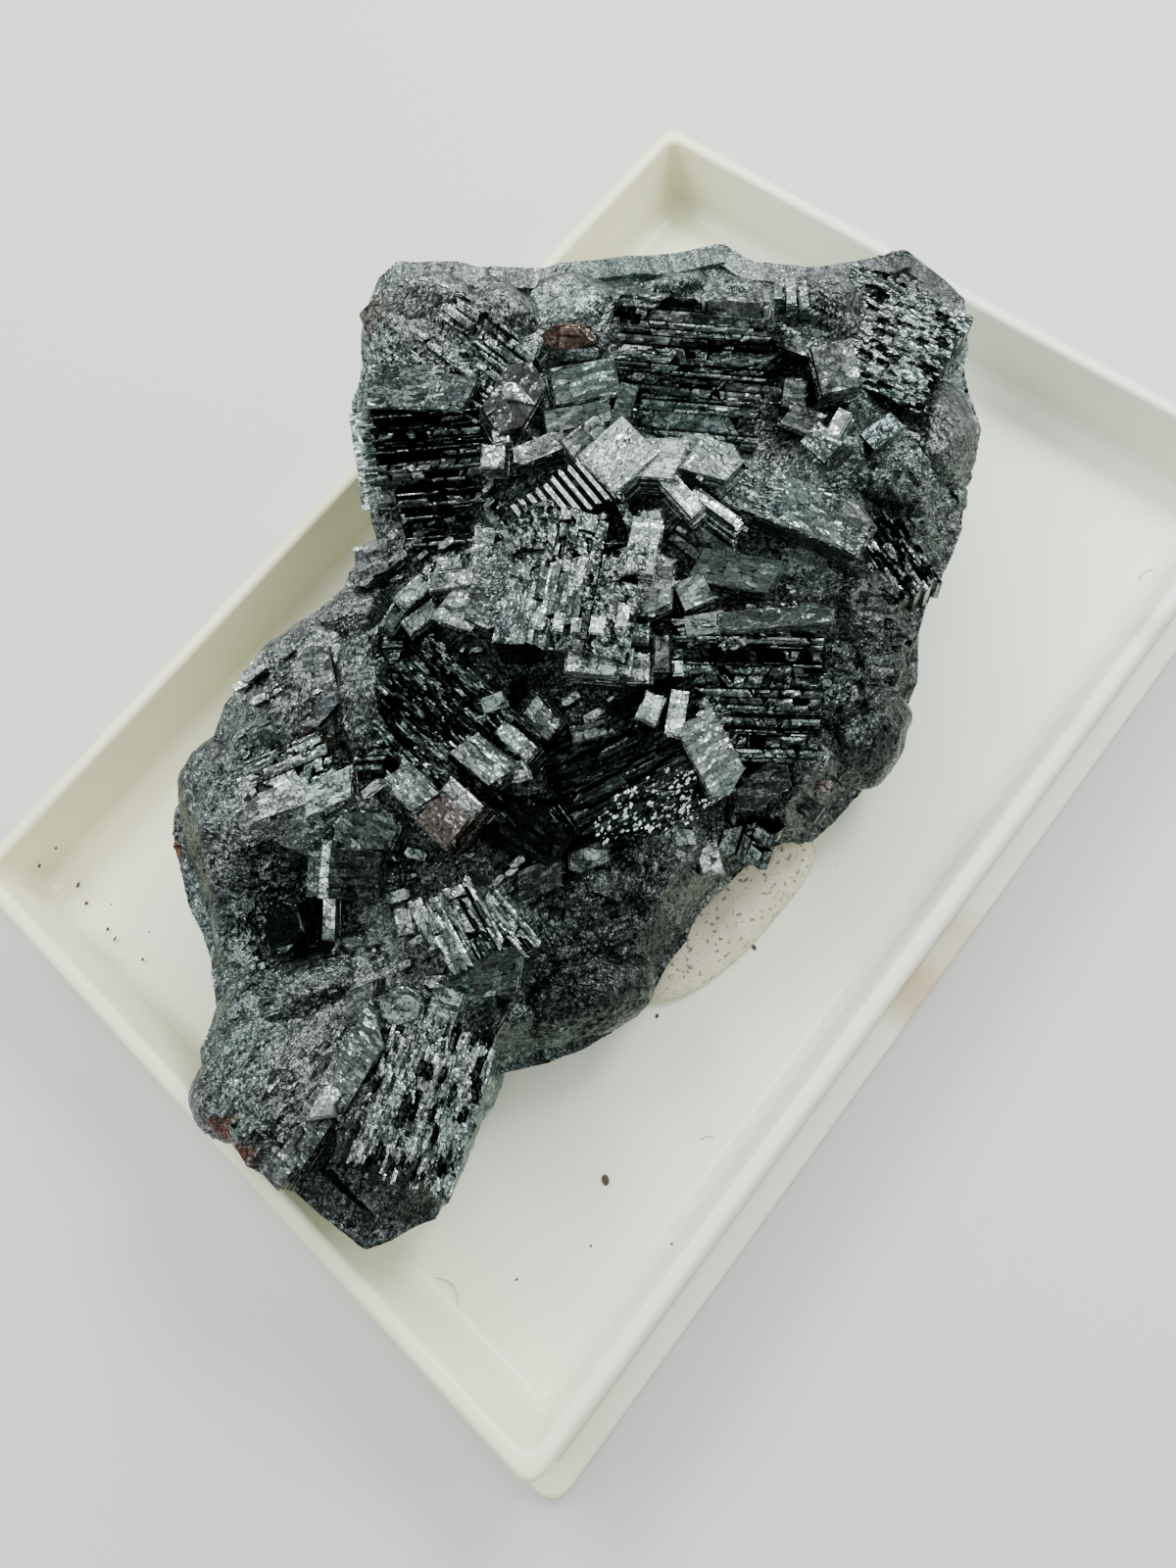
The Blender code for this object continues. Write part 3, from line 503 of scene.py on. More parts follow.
def bandGrid(count, reach):
    # the outline drawn in, its height from the outline's to that of the spots
    rim = rimPoints(count)
    x, y = drawnIn(rim, massive["centre"], reach)
    inward = smoothStep((1 - reach[:, None]) / massive["topBlend"])
    return np.stack((x, y, (1 - inward) * rim[:, 2] + inward * surfaceHeight(x, y)), -1)


def wallGrid():
    # up the flank from the break underneath to the widest outline
    rim = rimPoints(massive["wallAround"])
    wallReach, wallShare = np.array(massive["wall"]).T
    share = np.linspace(0, 1, massive["wallRings"])
    x, y = drawnIn(rim, massive["centre"], np.interp(share, wallShare, wallReach))
    return np.stack((x, y, massive["breakZ"] + share[:, None] * (rim[:, 2] - massive["breakZ"])), -1)


def makeBand(name, grid, firstSoft):
    # the grid with its relief, and two rows below it that close it like a ring
    normals = gridNormals(grid)
    middle = np.array((*massive["centre"], massive["insideZ"]))
    if (normals * (grid - middle)).sum(-1).mean() < 0:
        normals = -normals
    relief, tone = oreRelief(grid, massive["salt"])
    soft = np.linspace(firstSoft, firstSoft + massive["softRows"], len(grid))
    shaped = grid + normals * (relief * np.minimum(1, soft)[:, None])[..., None]
    inner, outer = (shaped[row] - normals[row] * massive["deep"] for row in (-1, 0))
    closed = np.concatenate((shaped, inner[None], outer[None]))
    points = closed.reshape(-1, 3)
    tones = np.concatenate((tone, tone[-1:], tone[:1])).ravel()
    makePiece(name, intoRow(points), gridQuads(*closed.shape[:2], True), oreGrainFinish,
              marks={"tone": tones, "rust": rustOn(points)})
    return [kept[::massive["everyRow"], ::massive["everyColumn"]] for kept in (shaped, normals, tone)]


def makeMassive():
    # the flank and the bands over the top; returns places, normals and tones for growth
    makeBand("massive_ore_flank", wallGrid(), massive["wallSoft"])
    kept = []
    for number, (outer, inner, around, rings) in enumerate(massive["bands"]):
        grid = bandGrid(around, np.linspace(outer, inner, rings))
        skin = makeBand(f"massive_ore_top_{number}", grid, massive["topSoft"])
        bare = 0 if number else massive["bareRows"]
        kept.append([part[bare:].reshape(-1, *part.shape[2:]) for part in skin])
    return [np.concatenate(group) for group in zip(*kept)]


skinAt, skinNormals, skinTone = makeMassive()
print("massive ore made")

# Rough rounded masses: middle, radii and turn of each
lumpGrid = {"around": 100, "rows": 46, "latitudes": (-1.0, math.pi / 2 - 0.03), "uneven": 0.10,
            "poleTone": 0.3}
lumps = np.array([
    (-12.2, 27, 31.8, 5, 3.2, 5, 4), (-7, 25.8, 30.4, 5.5, 4, 5.4, -10), (0.5, 27.2, 26.6, 7, 4.6, 6.6, 8),
    (9, 30.4, 22.8, 7, 3.6, 6.4, 10), (15.6, 31, 21.4, 4.6, 4, 6.2, -20),
    (23.6, 28.6, 22.6, 5.4, 4.6, 6.2, 0), (33.6, 29, 17.6, 3.6, 6, 5.4, 10), (-17, 20, 28, 2.4, 6, 5.4, -4),
    (33.4, 18, 16.6, 4.2, 6.4, 5.4, 4), (-24, -5.8, 21.6, 5.4, 7.2, 5.8, -22),
    (-18.2, -7.2, 21, 4, 8, 6.6, 4), (-19.6, 0, 21.8, 4.2, 3.4, 5.6, 20),
    (-31.6, -14.4, 16, 5.8, 6.2, 6.2, -20), (-30.6, -25, 13.6, 3.8, 6.6, 5.2, 0),
    (-23.6, -32, 15.6, 6.6, 3.8, 5.8, 10), (-28.6, -38.6, 16.6, 4, 6, 4.6, -26),
    (-1, -31, 11.6, 6.4, 4.2, 4.6, 14), (24.4, -8.4, 12.6, 4.6, 5.6, 5, -20),
])


def makeLumps():
    # uneven balls with the relief of the grains
    ball = ballGrid(lumpGrid["around"], lumpGrid["rows"], *lumpGrid["latitudes"])
    parts, tones = [], []
    for number, (x, y, z, a, b, c, turn) in enumerate(lumps):
        grid = unevenBall(ball, (x, y, z), (a, b, c), turn, lumpGrid["uneven"], 0.5, 40 + number)
        normals = gridNormals(grid)
        normals *= np.sign((normals * (grid - (x, y, z))).sum())
        relief, tone = oreRelief(grid, 60 + number)
        parts.append(closedGrid(grid + normals * relief[..., None]))
        tones.append(np.r_[tone.ravel(), [lumpGrid["poleTone"]] * 2])
    points, quads, tris = joinParts(parts)
    makePiece("rounded_masses", intoRow(points), quads, oreGrainFinish, tris,
              marks={"tone": np.concatenate(tones), "rust": rustOn(points)})


makeLumps()
print("rounded masses made")

# Flat-faced prisms, thousands at a time

def crystalPlaces(at, turn, tip, lean):
    # turn about the vertical, times tip about Y, times lean about X, then the place;
    # returns rows of (x axis, y axis, z axis, origin)
    at = np.asarray(at, float)
    t, p, l = (np.radians(np.broadcast_to(np.asarray(v, float), at.shape[:-1])) for v in (turn, tip, lean))
    ct, st, cp, sp, cl, sl = np.cos(t), np.sin(t), np.cos(p), np.sin(p), np.cos(l), np.sin(l)
    xAxis = np.stack((ct * cp, st * cp, -sp), -1)
    yAxis = np.stack((ct * sp * sl - st * cl, st * sp * sl + ct * cl, cp * sl), -1)
    zAxis = np.stack((ct * sp * cl + st * sl, st * sp * cl - ct * sl, cp * cl), -1)
    return np.stack((xAxis, yAxis, zAxis, at), -2)


class PrismStore:
    # gathers prisms of 4 or 6 sides, with or without a small bevel, and makes a piece of each sort
    def __init__(self):
        self.sorts = {}

    def add(self, place, shape, low, high, bevel=0.0, tone=0.5, rust=0.0):
        # place (n, 4, 3), shape (n, k, 2), the rest one number a prism
        count, sides = shape.shape[:2]
        rest = [np.broadcast_to(np.asarray(value, float), (count,))
                for value in (low, high, bevel, tone, rust)]
        row = (np.broadcast_to(place, (count, 4, 3)), shape, *rest)
        self.sorts.setdefault((sides, bool(np.max(bevel) > 0)), []).append(row)

    def pieces(self, name, finish):
        for (sides, bevelled), rows in self.sorts.items():
            gathered = [np.concatenate(part) for part in zip(*rows)]
            prismPiece(f"{name}_{sides}{'b' if bevelled else 'p'}0", finish, bevelled, *gathered)


def prismPiece(name, finish, bevelled, place, shape, low, high, bevel, tone, rust):
    # rings at the foot, under the bevel and at the top, joined by walls and closed by caps;
    # the grain runs round the walls by length and height, and over the caps by x and y
    count, sides = shape.shape[:2]
    middle = shape.mean(1, keepdims=True)
    reach = np.linalg.norm(shape - middle, axis=-1).mean(1)
    inset = middle + (shape - middle) * (1 - np.minimum(1.3 * bevel / reach, 0.6))[:, None, None]
    rings = [(shape, low), (shape, high - bevel), (inset, high)][:3 if bevelled else 2]
    local = np.stack([np.dstack((ring, np.broadcast_to(z[:, None], (count, sides)))) for ring, z in rings], 1)
    world = np.einsum("nrkc,ncd->nrkd", local, place[:, :3]) + place[:, None, None, 3]
    edge = np.linalg.norm(np.roll(shape, -1, 1) - shape, axis=-1)
    along = np.concatenate((np.zeros((count, 1)), np.cumsum(edge, 1)), 1)
    template, grain = [], []
    for level in range(len(rings) - 1):
        for i in range(sides):
            corners = ((level, i, i), (level, (i + 1) % sides, i + 1),
                       (level + 1, (i + 1) % sides, i + 1), (level + 1, i, i))
            template.append([ring * sides + side for ring, side, step in corners])
            grain.append(np.stack([np.stack((along[:, step], local[:, ring, side, 2]), -1)
                                   for ring, side, step in corners], 1))
    caps = ((0, 1, 2, 3),) if sides == 4 else ((0, 1, 2, 3), (0, 3, 4, 5))
    for cap in caps:
        template += [[(len(rings) - 1) * sides + c for c in cap], cap[::-1]]
        grain += [local[:, -1][:, cap, :2], local[:, 0][:, cap[::-1], :2]]
    each = len(rings) * sides
    quads = (np.array(template)[None] + (np.arange(count) * each)[:, None, None]).reshape(-1, 4)
    shift = np.stack((hashed(place[:, 3], 5), hashed(place[:, 3] + high[:, None], 6)), -1) * 37
    uv = (np.stack(grain, 1) + shift[:, None, None]).reshape(-1, 2) * plates["cells"]
    makePiece(name, intoRow(world.reshape(-1, 3)), quads, finish,
              marks={"tone": np.repeat(tone, each), "rust": np.repeat(rust, each)}, uv=uv)


def outlineOf(habit, length, width):
    # the top face's outline, anticlockwise, for each habit of crystal
    a, b = length / 2, width / 2
    if habit == "hex":
        cut = min(a, b) * 0.75
        return np.array(((a, -b + cut), (a, b - cut * 0.4), (a - cut, b), (-a, b - cut),
                         (-a, -b + cut * 0.3), (-a + cut, -b)))
    if habit == "lens":
        return np.array(((a, 0), (a * 0.45, b), (-a * 0.45, b), (-a, 0), (-a * 0.45, -b), (a * 0.45, -b)))
    if habit == "rhomb":
        slip = 0.35 * b
        return np.array(((a - slip, -b), (a + slip, b), (-a + slip, b), (-a - slip, -b)))
    if habit == "wedge":
        return np.array(((a, -b * 0.55), (a, b * 0.55), (-a, b), (-a, -b)))
    return np.array(((a, -b), (a, b), (-a, b), (-a, -b)))


def boxShapes(cx, cy, halfLong, halfWide, skew):
    # four corners round each middle, the far end slid sideways by skew
    corners = [(-1, -1), (1, -1), (1, 1), (-1, 1)]
    return np.stack([np.stack((cx + sx * halfLong, cy + sy * halfWide + sx * skew), -1)
                     for sx, sy in corners], 1)


# Single crystals: x, y, z, length, width, depth, turn, tip, lean, habit, face, tone, rust
crystals = [
    # the crest
    (-17, 25.6, 34.4, 3.2, 2.6, 5, 30, -25, 20, "rhomb", "clean", 0.4, 0.5),
    (-13.5, 17.2, 35.4, 7.5, 4, 6, -5, 0, 24, "block", "tiled", 0.65, 0),
    (-9.2, 16.3, 35.4, 3.6, 3.4, 5, -12, 0, 18, "rhomb", "striped", 0.5, 0),
    (-18.2, 13, 29.8, 2.4, 9, 6, -4, -18, 28, "block", "striped", 0.7, 0),
    (-3.2, 14.6, 37, 6.2, 5.6, 7, 35, 4, 20, "hex", "smooth", 0.40, 0.12),
    (2.6, 16.4, 35.4, 5.8, 3.4, 6, 12, 8, 20, "block", "tiled", 0.5, 0),
    (1.8, 13.8, 34.2, 6, 2, 5, 12, 6, 24, "block", "tiled", 0.55, 0),
    (5.6, 14, 33.8, 1.6, 5.5, 6, -14, 12, 20, "block", "tiled", 0.4, 0),
    (0.8, 21.6, 34.4, 4.8, 2.3, 4, -10, 2, 36, "lens", "smooth", 0.3, 0.9),
    (1.2, 20.1, 34, 4.6, 1.3, 4, -8, 2, 36, "hex", "smooth", 0.55, 0),
    (-4.6, 11.4, 36, 1.4, 1.4, 5, 10, 0, 8, "block", "clean", 0.75, 0),
    (-5.4, 9.9, 35.2, 2.1, 2.3, 7, -4, 0, 10, "block", "clean", 0.7, 0),
    (-1.3, 10.2, 35.6, 4.6, 2.6, 7, 4, -2, 12, "hex", "striped", 0.7, 0),
    (2.8, 10.8, 35.4, 4.2, 2.6, 5, 38, 0, 30, "block", "clean", 0.5, 0),
    (5.5, 8.7, 36.3, 5, 4.6, 6, 40, -6, 8, "block", "pitted", 0.78, 0),
    (-5.6, 5.4, 31, 1, 3.6, 5, 38, 0, 12, "block", "clean", 0.4, 0),
    (8.6, 8.4, 35.8, 4.4, 3.6, 6, -8, 0, 12, "rhomb", "striped", 0.8, 0),
    (10.4, 5.8, 34.6, 4.8, 1.5, 6, -52, 6, 4, "block", "clean", 0.8, 0),
    (12.6, 8.6, 35.4, 5.5, 4.6, 6, -45, 4, 6, "hex", "striped", 0.75, 0),
    (7.8, 4.5, 33, 2, 1.2, 5, 5, 0, 10, "block", "clean", 0.7, 0),
    # upper right
    (14.8, 24.3, 33, 7.6, 3.4, 5, -14, 2, 22, "hex", "clean", 0.5, 0),
    (20.8, 27, 31, 0.9, 2.6, 5, 0, 0, 15, "block", "striped", 0.8, 0),
    (21.9, 26.6, 30.8, 0.7, 2.8, 5, 4, 0, 18, "block", "clean", 0.68, 0),
    (19.8, 27.4, 30.9, 0.8, 1.9, 5, -4, 0, 14, "block", "pitted", 0.75, 0),
    (20.4, 21.8, 30.8, 4.6, 2.2, 5, -40, 0, 20, "hex", "striped", 0.6, 0),
    (24.2, 18.4, 31.6, 3.8, 4.6, 7, 12, 5, 18, "block", "clean", 0.55, 0),
    (20.4, 17, 30.2, 2, 2.6, 5, -10, 0, 20, "block", "tiled", 0.45, 0),
    (20.9, 14.3, 30, 3.2, 2.4, 5, -30, 0, 24, "rhomb", "tiled", 0.5, 0),
    (23.8, 13.4, 30.6, 1.2, 2.8, 5, -35, 0, 15, "block", "clean", 0.8, 0),
    (22.3, 11.8, 30.2, 3, 2.4, 5, -50, 0, 24, "block", "striped", 0.6, 0),
    (28, 14.6, 26.6, 4, 2, 5, 40, 6, 12, "block", "striped", 0.4, 0),
    (28, 10, 25.4, 7, 4.6, 6, -25, 8, 20, "hex", "granular", 0.42, 0),
    (19.3, 5.8, 31.4, 14.5, 6.6, 9, -35, 10, 8, "hex", "pitted", 0.44, 0),
    (13.2, 5, 33.2, 5, 0.9, 6, -40, 6, 0, "block", "clean", 0.9, 0),
    (12.6, 2.4, 29.4, 8, 3, 6, -40, 6, 14, "block", "clean", 0.2, 0),
    # the middle
    (-4.2, -0.8, 33.2, 6, 9, 9, -12, 0, 6, "hex", "pitted", 0.46, 0),
    (7.2, 1.4, 34, 2.6, 5, 9, -12, 4, 4, "block", "striped", 0.75, 0),
    (2.6, -7.6, 31.6, 4.4, 2.4, 9, -8, 0, 8, "block", "clean", 0.6, 0),
    (5.2, -7.6, 31.2, 1.4, 2.4, 9, -8, 0, 8, "block", "clean", 0.6, 0),
    (8, -1.4, 32.4, 3, 5.6, 9, -6, 4, 6, "hex", "tiled", 0.6, 0.1),
    (6.5, -5, 30.6, 1.6, 2, 7, -4, 0, 8, "block", "clean", 0.6, 0),
    (6.2, -7.6, 29.6, 1.9, 2.6, 9, -4, 0, 14, "block", "clean", 0.65, 0.3),
    (8.1, -6.4, 29.6, 1.3, 3, 9, -4, 0, 14, "block", "clean", 0.5, 0.2),
    (9.4, -7.4, 28.4, 0.9, 1.2, 6, 0, 0, 14, "block", "clean", 1, 0),
    (11.1, -1.6, 30.8, 2.8, 2.6, 7, 22, 0, 14, "block", "tiled", 0.6, 0),
    (11.8, -4, 29.4, 3.4, 1.8, 6, 8, 0, 14, "block", "tiled", 0.5, 0),
    (14.6, 0.4, 30, 7, 3, 6, -12, 4, 14, "rhomb", "tiled", 0.45, 0),
    (17.6, -3.9, 30, 9.5, 2.6, 5, -3, 3, 8, "hex", "smooth", 0.45, 0),
    (-7, 2.6, 31.6, 2, 4.6, 5, -12, 0, 12, "block", "striped", 0.6, 0),
    (-9.4, 0.2, 31.4, 4.2, 1.7, 5, 5, 0, 10, "block", "clean", 0.7, 0),
    (-9.8, 2, 31, 2.2, 1.2, 5, 8, 0, 10, "block", "clean", 0.65, 0),
    (-8.2, -1.8, 30.8, 4, 4.4, 6, -20, 0, 12, "rhomb", "tiled", 0.65, 0),
    (-13.4, 0.2, 29, 3.4, 1.8, 5, 42, 0, 14, "block", "clean", 0.55, 0),
    (-12.6, -2, 28.6, 3.6, 1.6, 5, 38, 0, 14, "block", "clean", 0.5, 0),
    (-15.2, -1.6, 28, 3, 1.6, 5, 60, 0, 14, "block", "clean", 0.45, 0),
    # right flank
    (25, -5.6, 19.6, 8.5, 11.5, 9, -12, 20, 20, "hex", "granular", 0.27, 0),
    (25, 0.8, 23.6, 8.5, 4.6, 7, -16, 14, 14, "hex", "granular", 0.46, 0),
    (29.2, -0.8, 16, 4, 5.4, 7, -6, 24, 8, "block", "granular", 0.36, 0),
    (33, 11, 19, 5.6, 7.6, 8, -30, 20, 6, "hex", "granular", 0.42, 0),
    (20.4, -12.6, 18.4, 2.2, 1.4, 6, -30, 0, 10, "block", "clean", 0.65, 0),
    (20.9, -14.4, 16.2, 2.2, 1.7, 6, -20, 0, 20, "wedge", "clean", 0.4, 0.5),
    (19, -15.6, 14.6, 3.8, 1.7, 6, -38, 0, 14, "block", "striped", 0.35, 0),
    (15.8, -15.2, 18.8, 5, 4, 6, 10, 0, 30, "hex", "striped", 0.5, 0),
    # lower middle
    (7, -10.4, 27.4, 1.9, 2.6, 7, -25, 0, 8, "block", "clean", 0.7, 0),
    (9.2, -11, 27.8, 1.5, 3.8, 7, -12, 0, 10, "block", "clean", 0.9, 0),
    (11.7, -13.2, 25.4, 3.6, 8.6, 7, 28, 6, 14, "hex", "tiled", 0.65, 0),
    (2, -11.9, 26.4, 3.8, 1.6, 6, 15, 0, 12, "block", "clean", 0.35, 0),
    (-2.2, -11.2, 27.6, 3.4, 3.4, 7, -40, 0, 14, "wedge", "clean", 0.35, 0),
    (-4.3, -12.9, 27.6, 4, 1.6, 6, -42, 0, 10, "block", "clean", 0.6, 0),
    (-6.9, -14.5, 28, 4.6, 2.8, 6, -40, 0, 10, "rhomb", "striped", 0.6, 0),
    (-6, -9.9, 28.6, 2.2, 1.5, 5, 20, 0, 12, "block", "striped", 0.55, 0),
    (-4.1, -15.2, 26.6, 1.5, 1.6, 5, 15, 0, 12, "block", "clean", 0.95, 0),
    (-8.8, -17.5, 27, 4, 1.5, 6, -42, 0, 10, "block", "clean", 0.6, 0.2),
    (-10.4, -19, 26.4, 3.8, 3.8, 7, -42, 0, 10, "block", "striped", 0.42, 0.45),
    (-13.4, -16.4, 26.8, 4.4, 3, 6, -42, 0, 12, "rhomb", "striped", 0.6, 0),
    (-4.8, -19.3, 23.1, 8.5, 6.5, 8, -35, 2, 32, "hex", "striped", 0.15, 0),
    (1, -21.2, 20.4, 3.6, 2.8, 5, 0, 0, 18, "hex", "clean", 0.4, 0),
    (-3.2, -23, 20.2, 4, 2.6, 5, 20, 0, 24, "rhomb", "tiled", 0.35, 0),
    (7.8, -20.2, 18.4, 4.6, 3.6, 6, 10, 0, 22, "hex", "clean", 0.45, 0),
    (10.9, -20.6, 15.8, 2, 3, 6, 12, 0, 22, "block", "clean", 0.7, 0),
    (0.4, -26.6, 18, 12, 11, 9, 12, 4, 32, "hex", "granular", 0.24, 0),
    (-7.6, -31, 21.6, 6.5, 4, 8, 10, 0, 32, "rhomb", "striped", 0.5, 0),
    (-9, -34, 17.4, 4.2, 4, 7, 20, 0, 28, "hex", "tiled", 0.4, 0),
    # left lobe
    (-17.6, 3.9, 28.2, 3.2, 3, 6, 20, 0, 24, "rhomb", "tiled", 0.7, 0),
    (-26.6, -17.2, 24.6, 6, 3, 6, 22, -6, 24, "hex", "striped", 0.75, 0),
    (-18.2, -23.4, 25.2, 4.4, 4.2, 9, -6, 4, 20, "block", "tiled", 0.3, 0),
    (-20.8, -22.8, 25, 1.2, 5, 9, -8, -24, 12, "block", "clean", 0.72, 0),
    (-17.2, -19.8, 25.4, 5.4, 4.6, 8, -25, 4, 14, "hex", "tiled", 0.42, 0),
    (-22, -22.8, 23.8, 2.4, 3.8, 8, -6, -34, 8, "block", "striped", 0.45, 0),
    (-21.2, -26.2, 21.4, 1.1, 4, 7, -4, 0, 22, "block", "clean", 0.9, 0),
    (-14.2, -26.8, 22.6, 1.6, 2.4, 6, 10, 0, 12, "block", "clean", 0.6, 0),
    (-12.2, -27.2, 23.8, 1.2, 4.6, 6, 25, 0, 12, "block", "clean", 0.6, 0),
    # lower lobe
    (-17.7, -38.4, 24.8, 3, 11, 6, -32, -4, 4, "wedge", "smooth", 0.42, 0),
    (-21.6, -43.4, 22.9, 1.8, 8, 6, -38, -8, 4, "block", "smooth", 0.42, 0),
    (-19.9, -42.6, 23.4, 1.0, 7, 6, -36, -8, 4, "block", "striped", 0.36, 0),
    (-25.6, -40.8, 22.2, 4.4, 8, 7, -38, -14, 2, "hex", "granular", 0.44, 0),
    (-14.2, -33.8, 24, 4, 3.6, 7, -10, 0, 10, "hex", "tiled", 0.55, 0),
    (-10.6, -33.4, 22.6, 2.6, 3, 7, -20, 6, 14, "block", "striped", 0.6, 0),
    (-17.2, -33.4, 24, 2.6, 2.6, 6, 20, 0, 10, "rhomb", "tiled", 0.5, 0),
    (-15.6, -46.8, 17.6, 8, 5.4, 7, 12, 6, 32, "hex", "granular", 0.2, 0),
    (-22.6, -7.4, 26.8, 4.2, 7.2, 6, 12, -10, 12, "hex", "smooth", 0.48, 0),
    # painted shade with real rust: this nearly black, slightly brown lens stands for a dark hole with rust
    # round it
    (-21.8, -12.2, 24.8, 3.4, 1.8, 4, 16, 0, 30, "lens", "smooth", 0.05, 0.3),
    (-20.6, -16.6, 26.2, 4.6, 2.4, 5, 24, 0, 20, "rhomb", "tiled", 0.82, 0),
    (-24.6, -17, 26, 4.4, 2.2, 5, 18, 0, 22, "rhomb", "tiled", 0.85, 0),
    # painted shade: this nearly black smooth crystal stands for a dark hollow
    (-25.4, -27, 20.6, 3.6, 4.4, 4, 14, -10, 16, "hex", "smooth", 0.04, 0),
    # bright facets along the front edge of the middle block; their tones near one are painted glints
    (0.2, -4.9, 33.8, 0.9, 1.6, 4, -10, 0, 6, "block", "clean", 0.95, 0),
    (1.6, -5.3, 33.7, 0.8, 1.4, 4, -8, 0, 8, "block", "clean", 0.85, 0),
    (-1.3, -4.5, 33.9, 0.7, 1.9, 4, -12, 0, 6, "block", "clean", 0.9, 0),
    (3.3, -5.2, 33.4, 1.2, 1.6, 4, -8, 0, 8, "block", "clean", 1, 0),
    (5.4, -4.4, 33.3, 1, 2.2, 4, -10, 4, 6, "block", "clean", 0.95, 0),
]
# relief of each kind of face: length and width of its facets, their depth, the share of
# deep pits and how deep, then the length, width and depth of the finer facets, and waviness
faceKinds = {
    "clean": (2.4, 1.6, 0.05, 0.00, 0.0, 0.6, 0.4, 0.015, 0.00),
    "tiled": (1.1, 0.6, 0.14, 0.06, 0.3, 0.45, 0.3, 0.07, 0.08),
    "striped": (2.6, 0.30, 0.16, 0.06, 0.4, 0.8, 0.18, 0.06, 0.08),
    "pitted": (0.52, 0.38, 0.12, 0.15, 0.17, 0.30, 0.24, 0.07, 0.10),
    "combed": (1.7, 0.34, 0.36, 0.26, 0.6, 0.7, 0.2, 0.12, 0.25),
    "laminated": (3.4, 1.0, 0.60, 0.10, 0.7, 1.2, 0.36, 0.20, 0.30),
    "pocked": (1.15, 0.44, 0.26, 0.13, 0.4, 0.5, 0.24, 0.09, 0.40),
    "barred": (2.6, 0.62, 0.12, 0.03, 0.4, 0.9, 0.2, 0.05, 0.10),
    "granular": (0.8, 0.6, 0.30, 0.08, 0.3, 0.4, 0.32, 0.14, 1.0),
    "smooth": (9.0, 8.0, 0.02, 0.0, 0.0, 2.4, 2.0, 0.01, 0.5),
    "mirror": (4.0, 0.50, 0.35, 0.05, 0.5, 0.8, 0.22, 0.05, 0.10),
}
patchStep = 0.15
# how wide each lath is along a ragged end
lathWide = 0.34
# blockwork: narrowest row and how much wider some are, tilt and skew of each piece, and
# for single crystals the height of the steps, the depth, and how long and wide the pieces are
blockwork = {"narrow": 0.35, "wide": 1.5, "tilt": 0.055, "skew": 0.45, "gap": 0.05, "least": 0.22,
             "steps": 0.32, "deep": 1.2, "pieceLong": 1.6, "pieceWide": 0.85}
plates = {"thick": (0.24, 0.6), "meanThick": 0.42, "slip": 0.05, "shrink": 0.05, "bevel": 0.06,
          "relief": 0.30, "tones": 0.12, "cells": (0.8, 2.4)}


def addPlates(store, chance, place, shape, depth, tone, rust):
    # a pile of thin plates under the top face, each a little smaller or aside
    thick = chance.uniform(*plates["thick"], int(depth / plates["meanThick"]) + 1)
    tops = -plates["relief"] * 0.5 - np.r_[0, np.cumsum(thick)[:-1]]
    keep = tops > -depth
    tops, thick = tops[keep], thick[keep]
    size = 1 - plates["shrink"] * chance.random(len(tops)) ** 2 * 2
    slide = plates["slip"] * chance.normal(size=(len(tops), 1, 2))
    shapes = shape[None] * size[:, None, None] + slide
    tones = tone + chance.uniform(-plates["tones"], plates["tones"], len(tops))
    store.add(place, shapes, tops - thick * 1.02, tops, plates["bevel"], tone=tones, rust=rust)


def patchPiece(name, finish, patches):
    # grids of relief joined in one piece; their grain is one pair of numbers a point
    points, quads, tris = joinParts([patch[:3] for patch in patches])
    tones, rusts, grain = (np.concatenate([patch[k] for patch in patches]) for k in (3, 4, 5))
    uv = grain[np.concatenate((quads.ravel(), tris.ravel()))]
    makePiece(name, intoRow(points), quads, finish, tris,
              marks={"tone": tones, "rust": rusts}, uv=uv)


def outlineSpan(shape, u):
    # lowest and highest v of a convex outline at each u
    tiny = 1e-6
    low, high = np.full(u.shape, np.inf), np.full(u.shape, -np.inf)
    for first, second in zip(shape, np.roll(shape, -1, 0)):
        run = second[0] - first[0]
        if abs(run) < tiny:
            continue
        share = (u - first[0]) / run
        v = first[1] + share * (second[1] - first[1])
        on = (share > -tiny) & (share < 1 + tiny)
        low = np.where(on, np.minimum(low, v), low)
        high = np.where(on, np.maximum(high, v), high)
    return low, high


def flatCells(values):
    # each number as the first of a cell's three, the other two nought
    return np.stack((values, 0 * values, 0 * values), -1)


def faceRelief(u, v, kind, salt):
    # two sizes of facets, some of them sunk as pits; returns height and lightness, with the pits painted
    # darker as shade
    long, wide, deep, pits, pitDeep, fineLong, fineWide, fineDeep, wavy = faceKinds[kind]
    flat = np.stack((u.ravel(), v.ravel(), 0 * u.ravel()), -1)
    value, slope, room = mosaic(flat / (long, wide, 1.0) + salt * 7.7, salt, True)
    fine, fineSlope = mosaic(flat / (fineLong, fineWide, 1.0) + salt * 3.1, salt + 13, True)[:2]
    sunk = (value * 17.0) % 1.0 < pits
    sunkFine = (fine * 13.0) % 1.0 < pits * 0.5
    height = -deep * value + 0.7 * deep * slope - pitDeep * sunk - 0.3 * deep * np.exp(-room * 12)
    height += -fineDeep * fine + fineDeep * fineSlope - 0.5 * pitDeep * sunkFine
    height += wavy * softNoise(flat, 2.6, salt + 31) - wavy * 0.6
    # painted shade: the sunk pits and fine pits are made darker in tone
    tone = 0.26 * (value - 0.5) + 0.24 * (fine - 0.5) - 0.40 * sunk - 0.2 * sunkFine
    return height.reshape(u.shape), tone.reshape(u.shape)


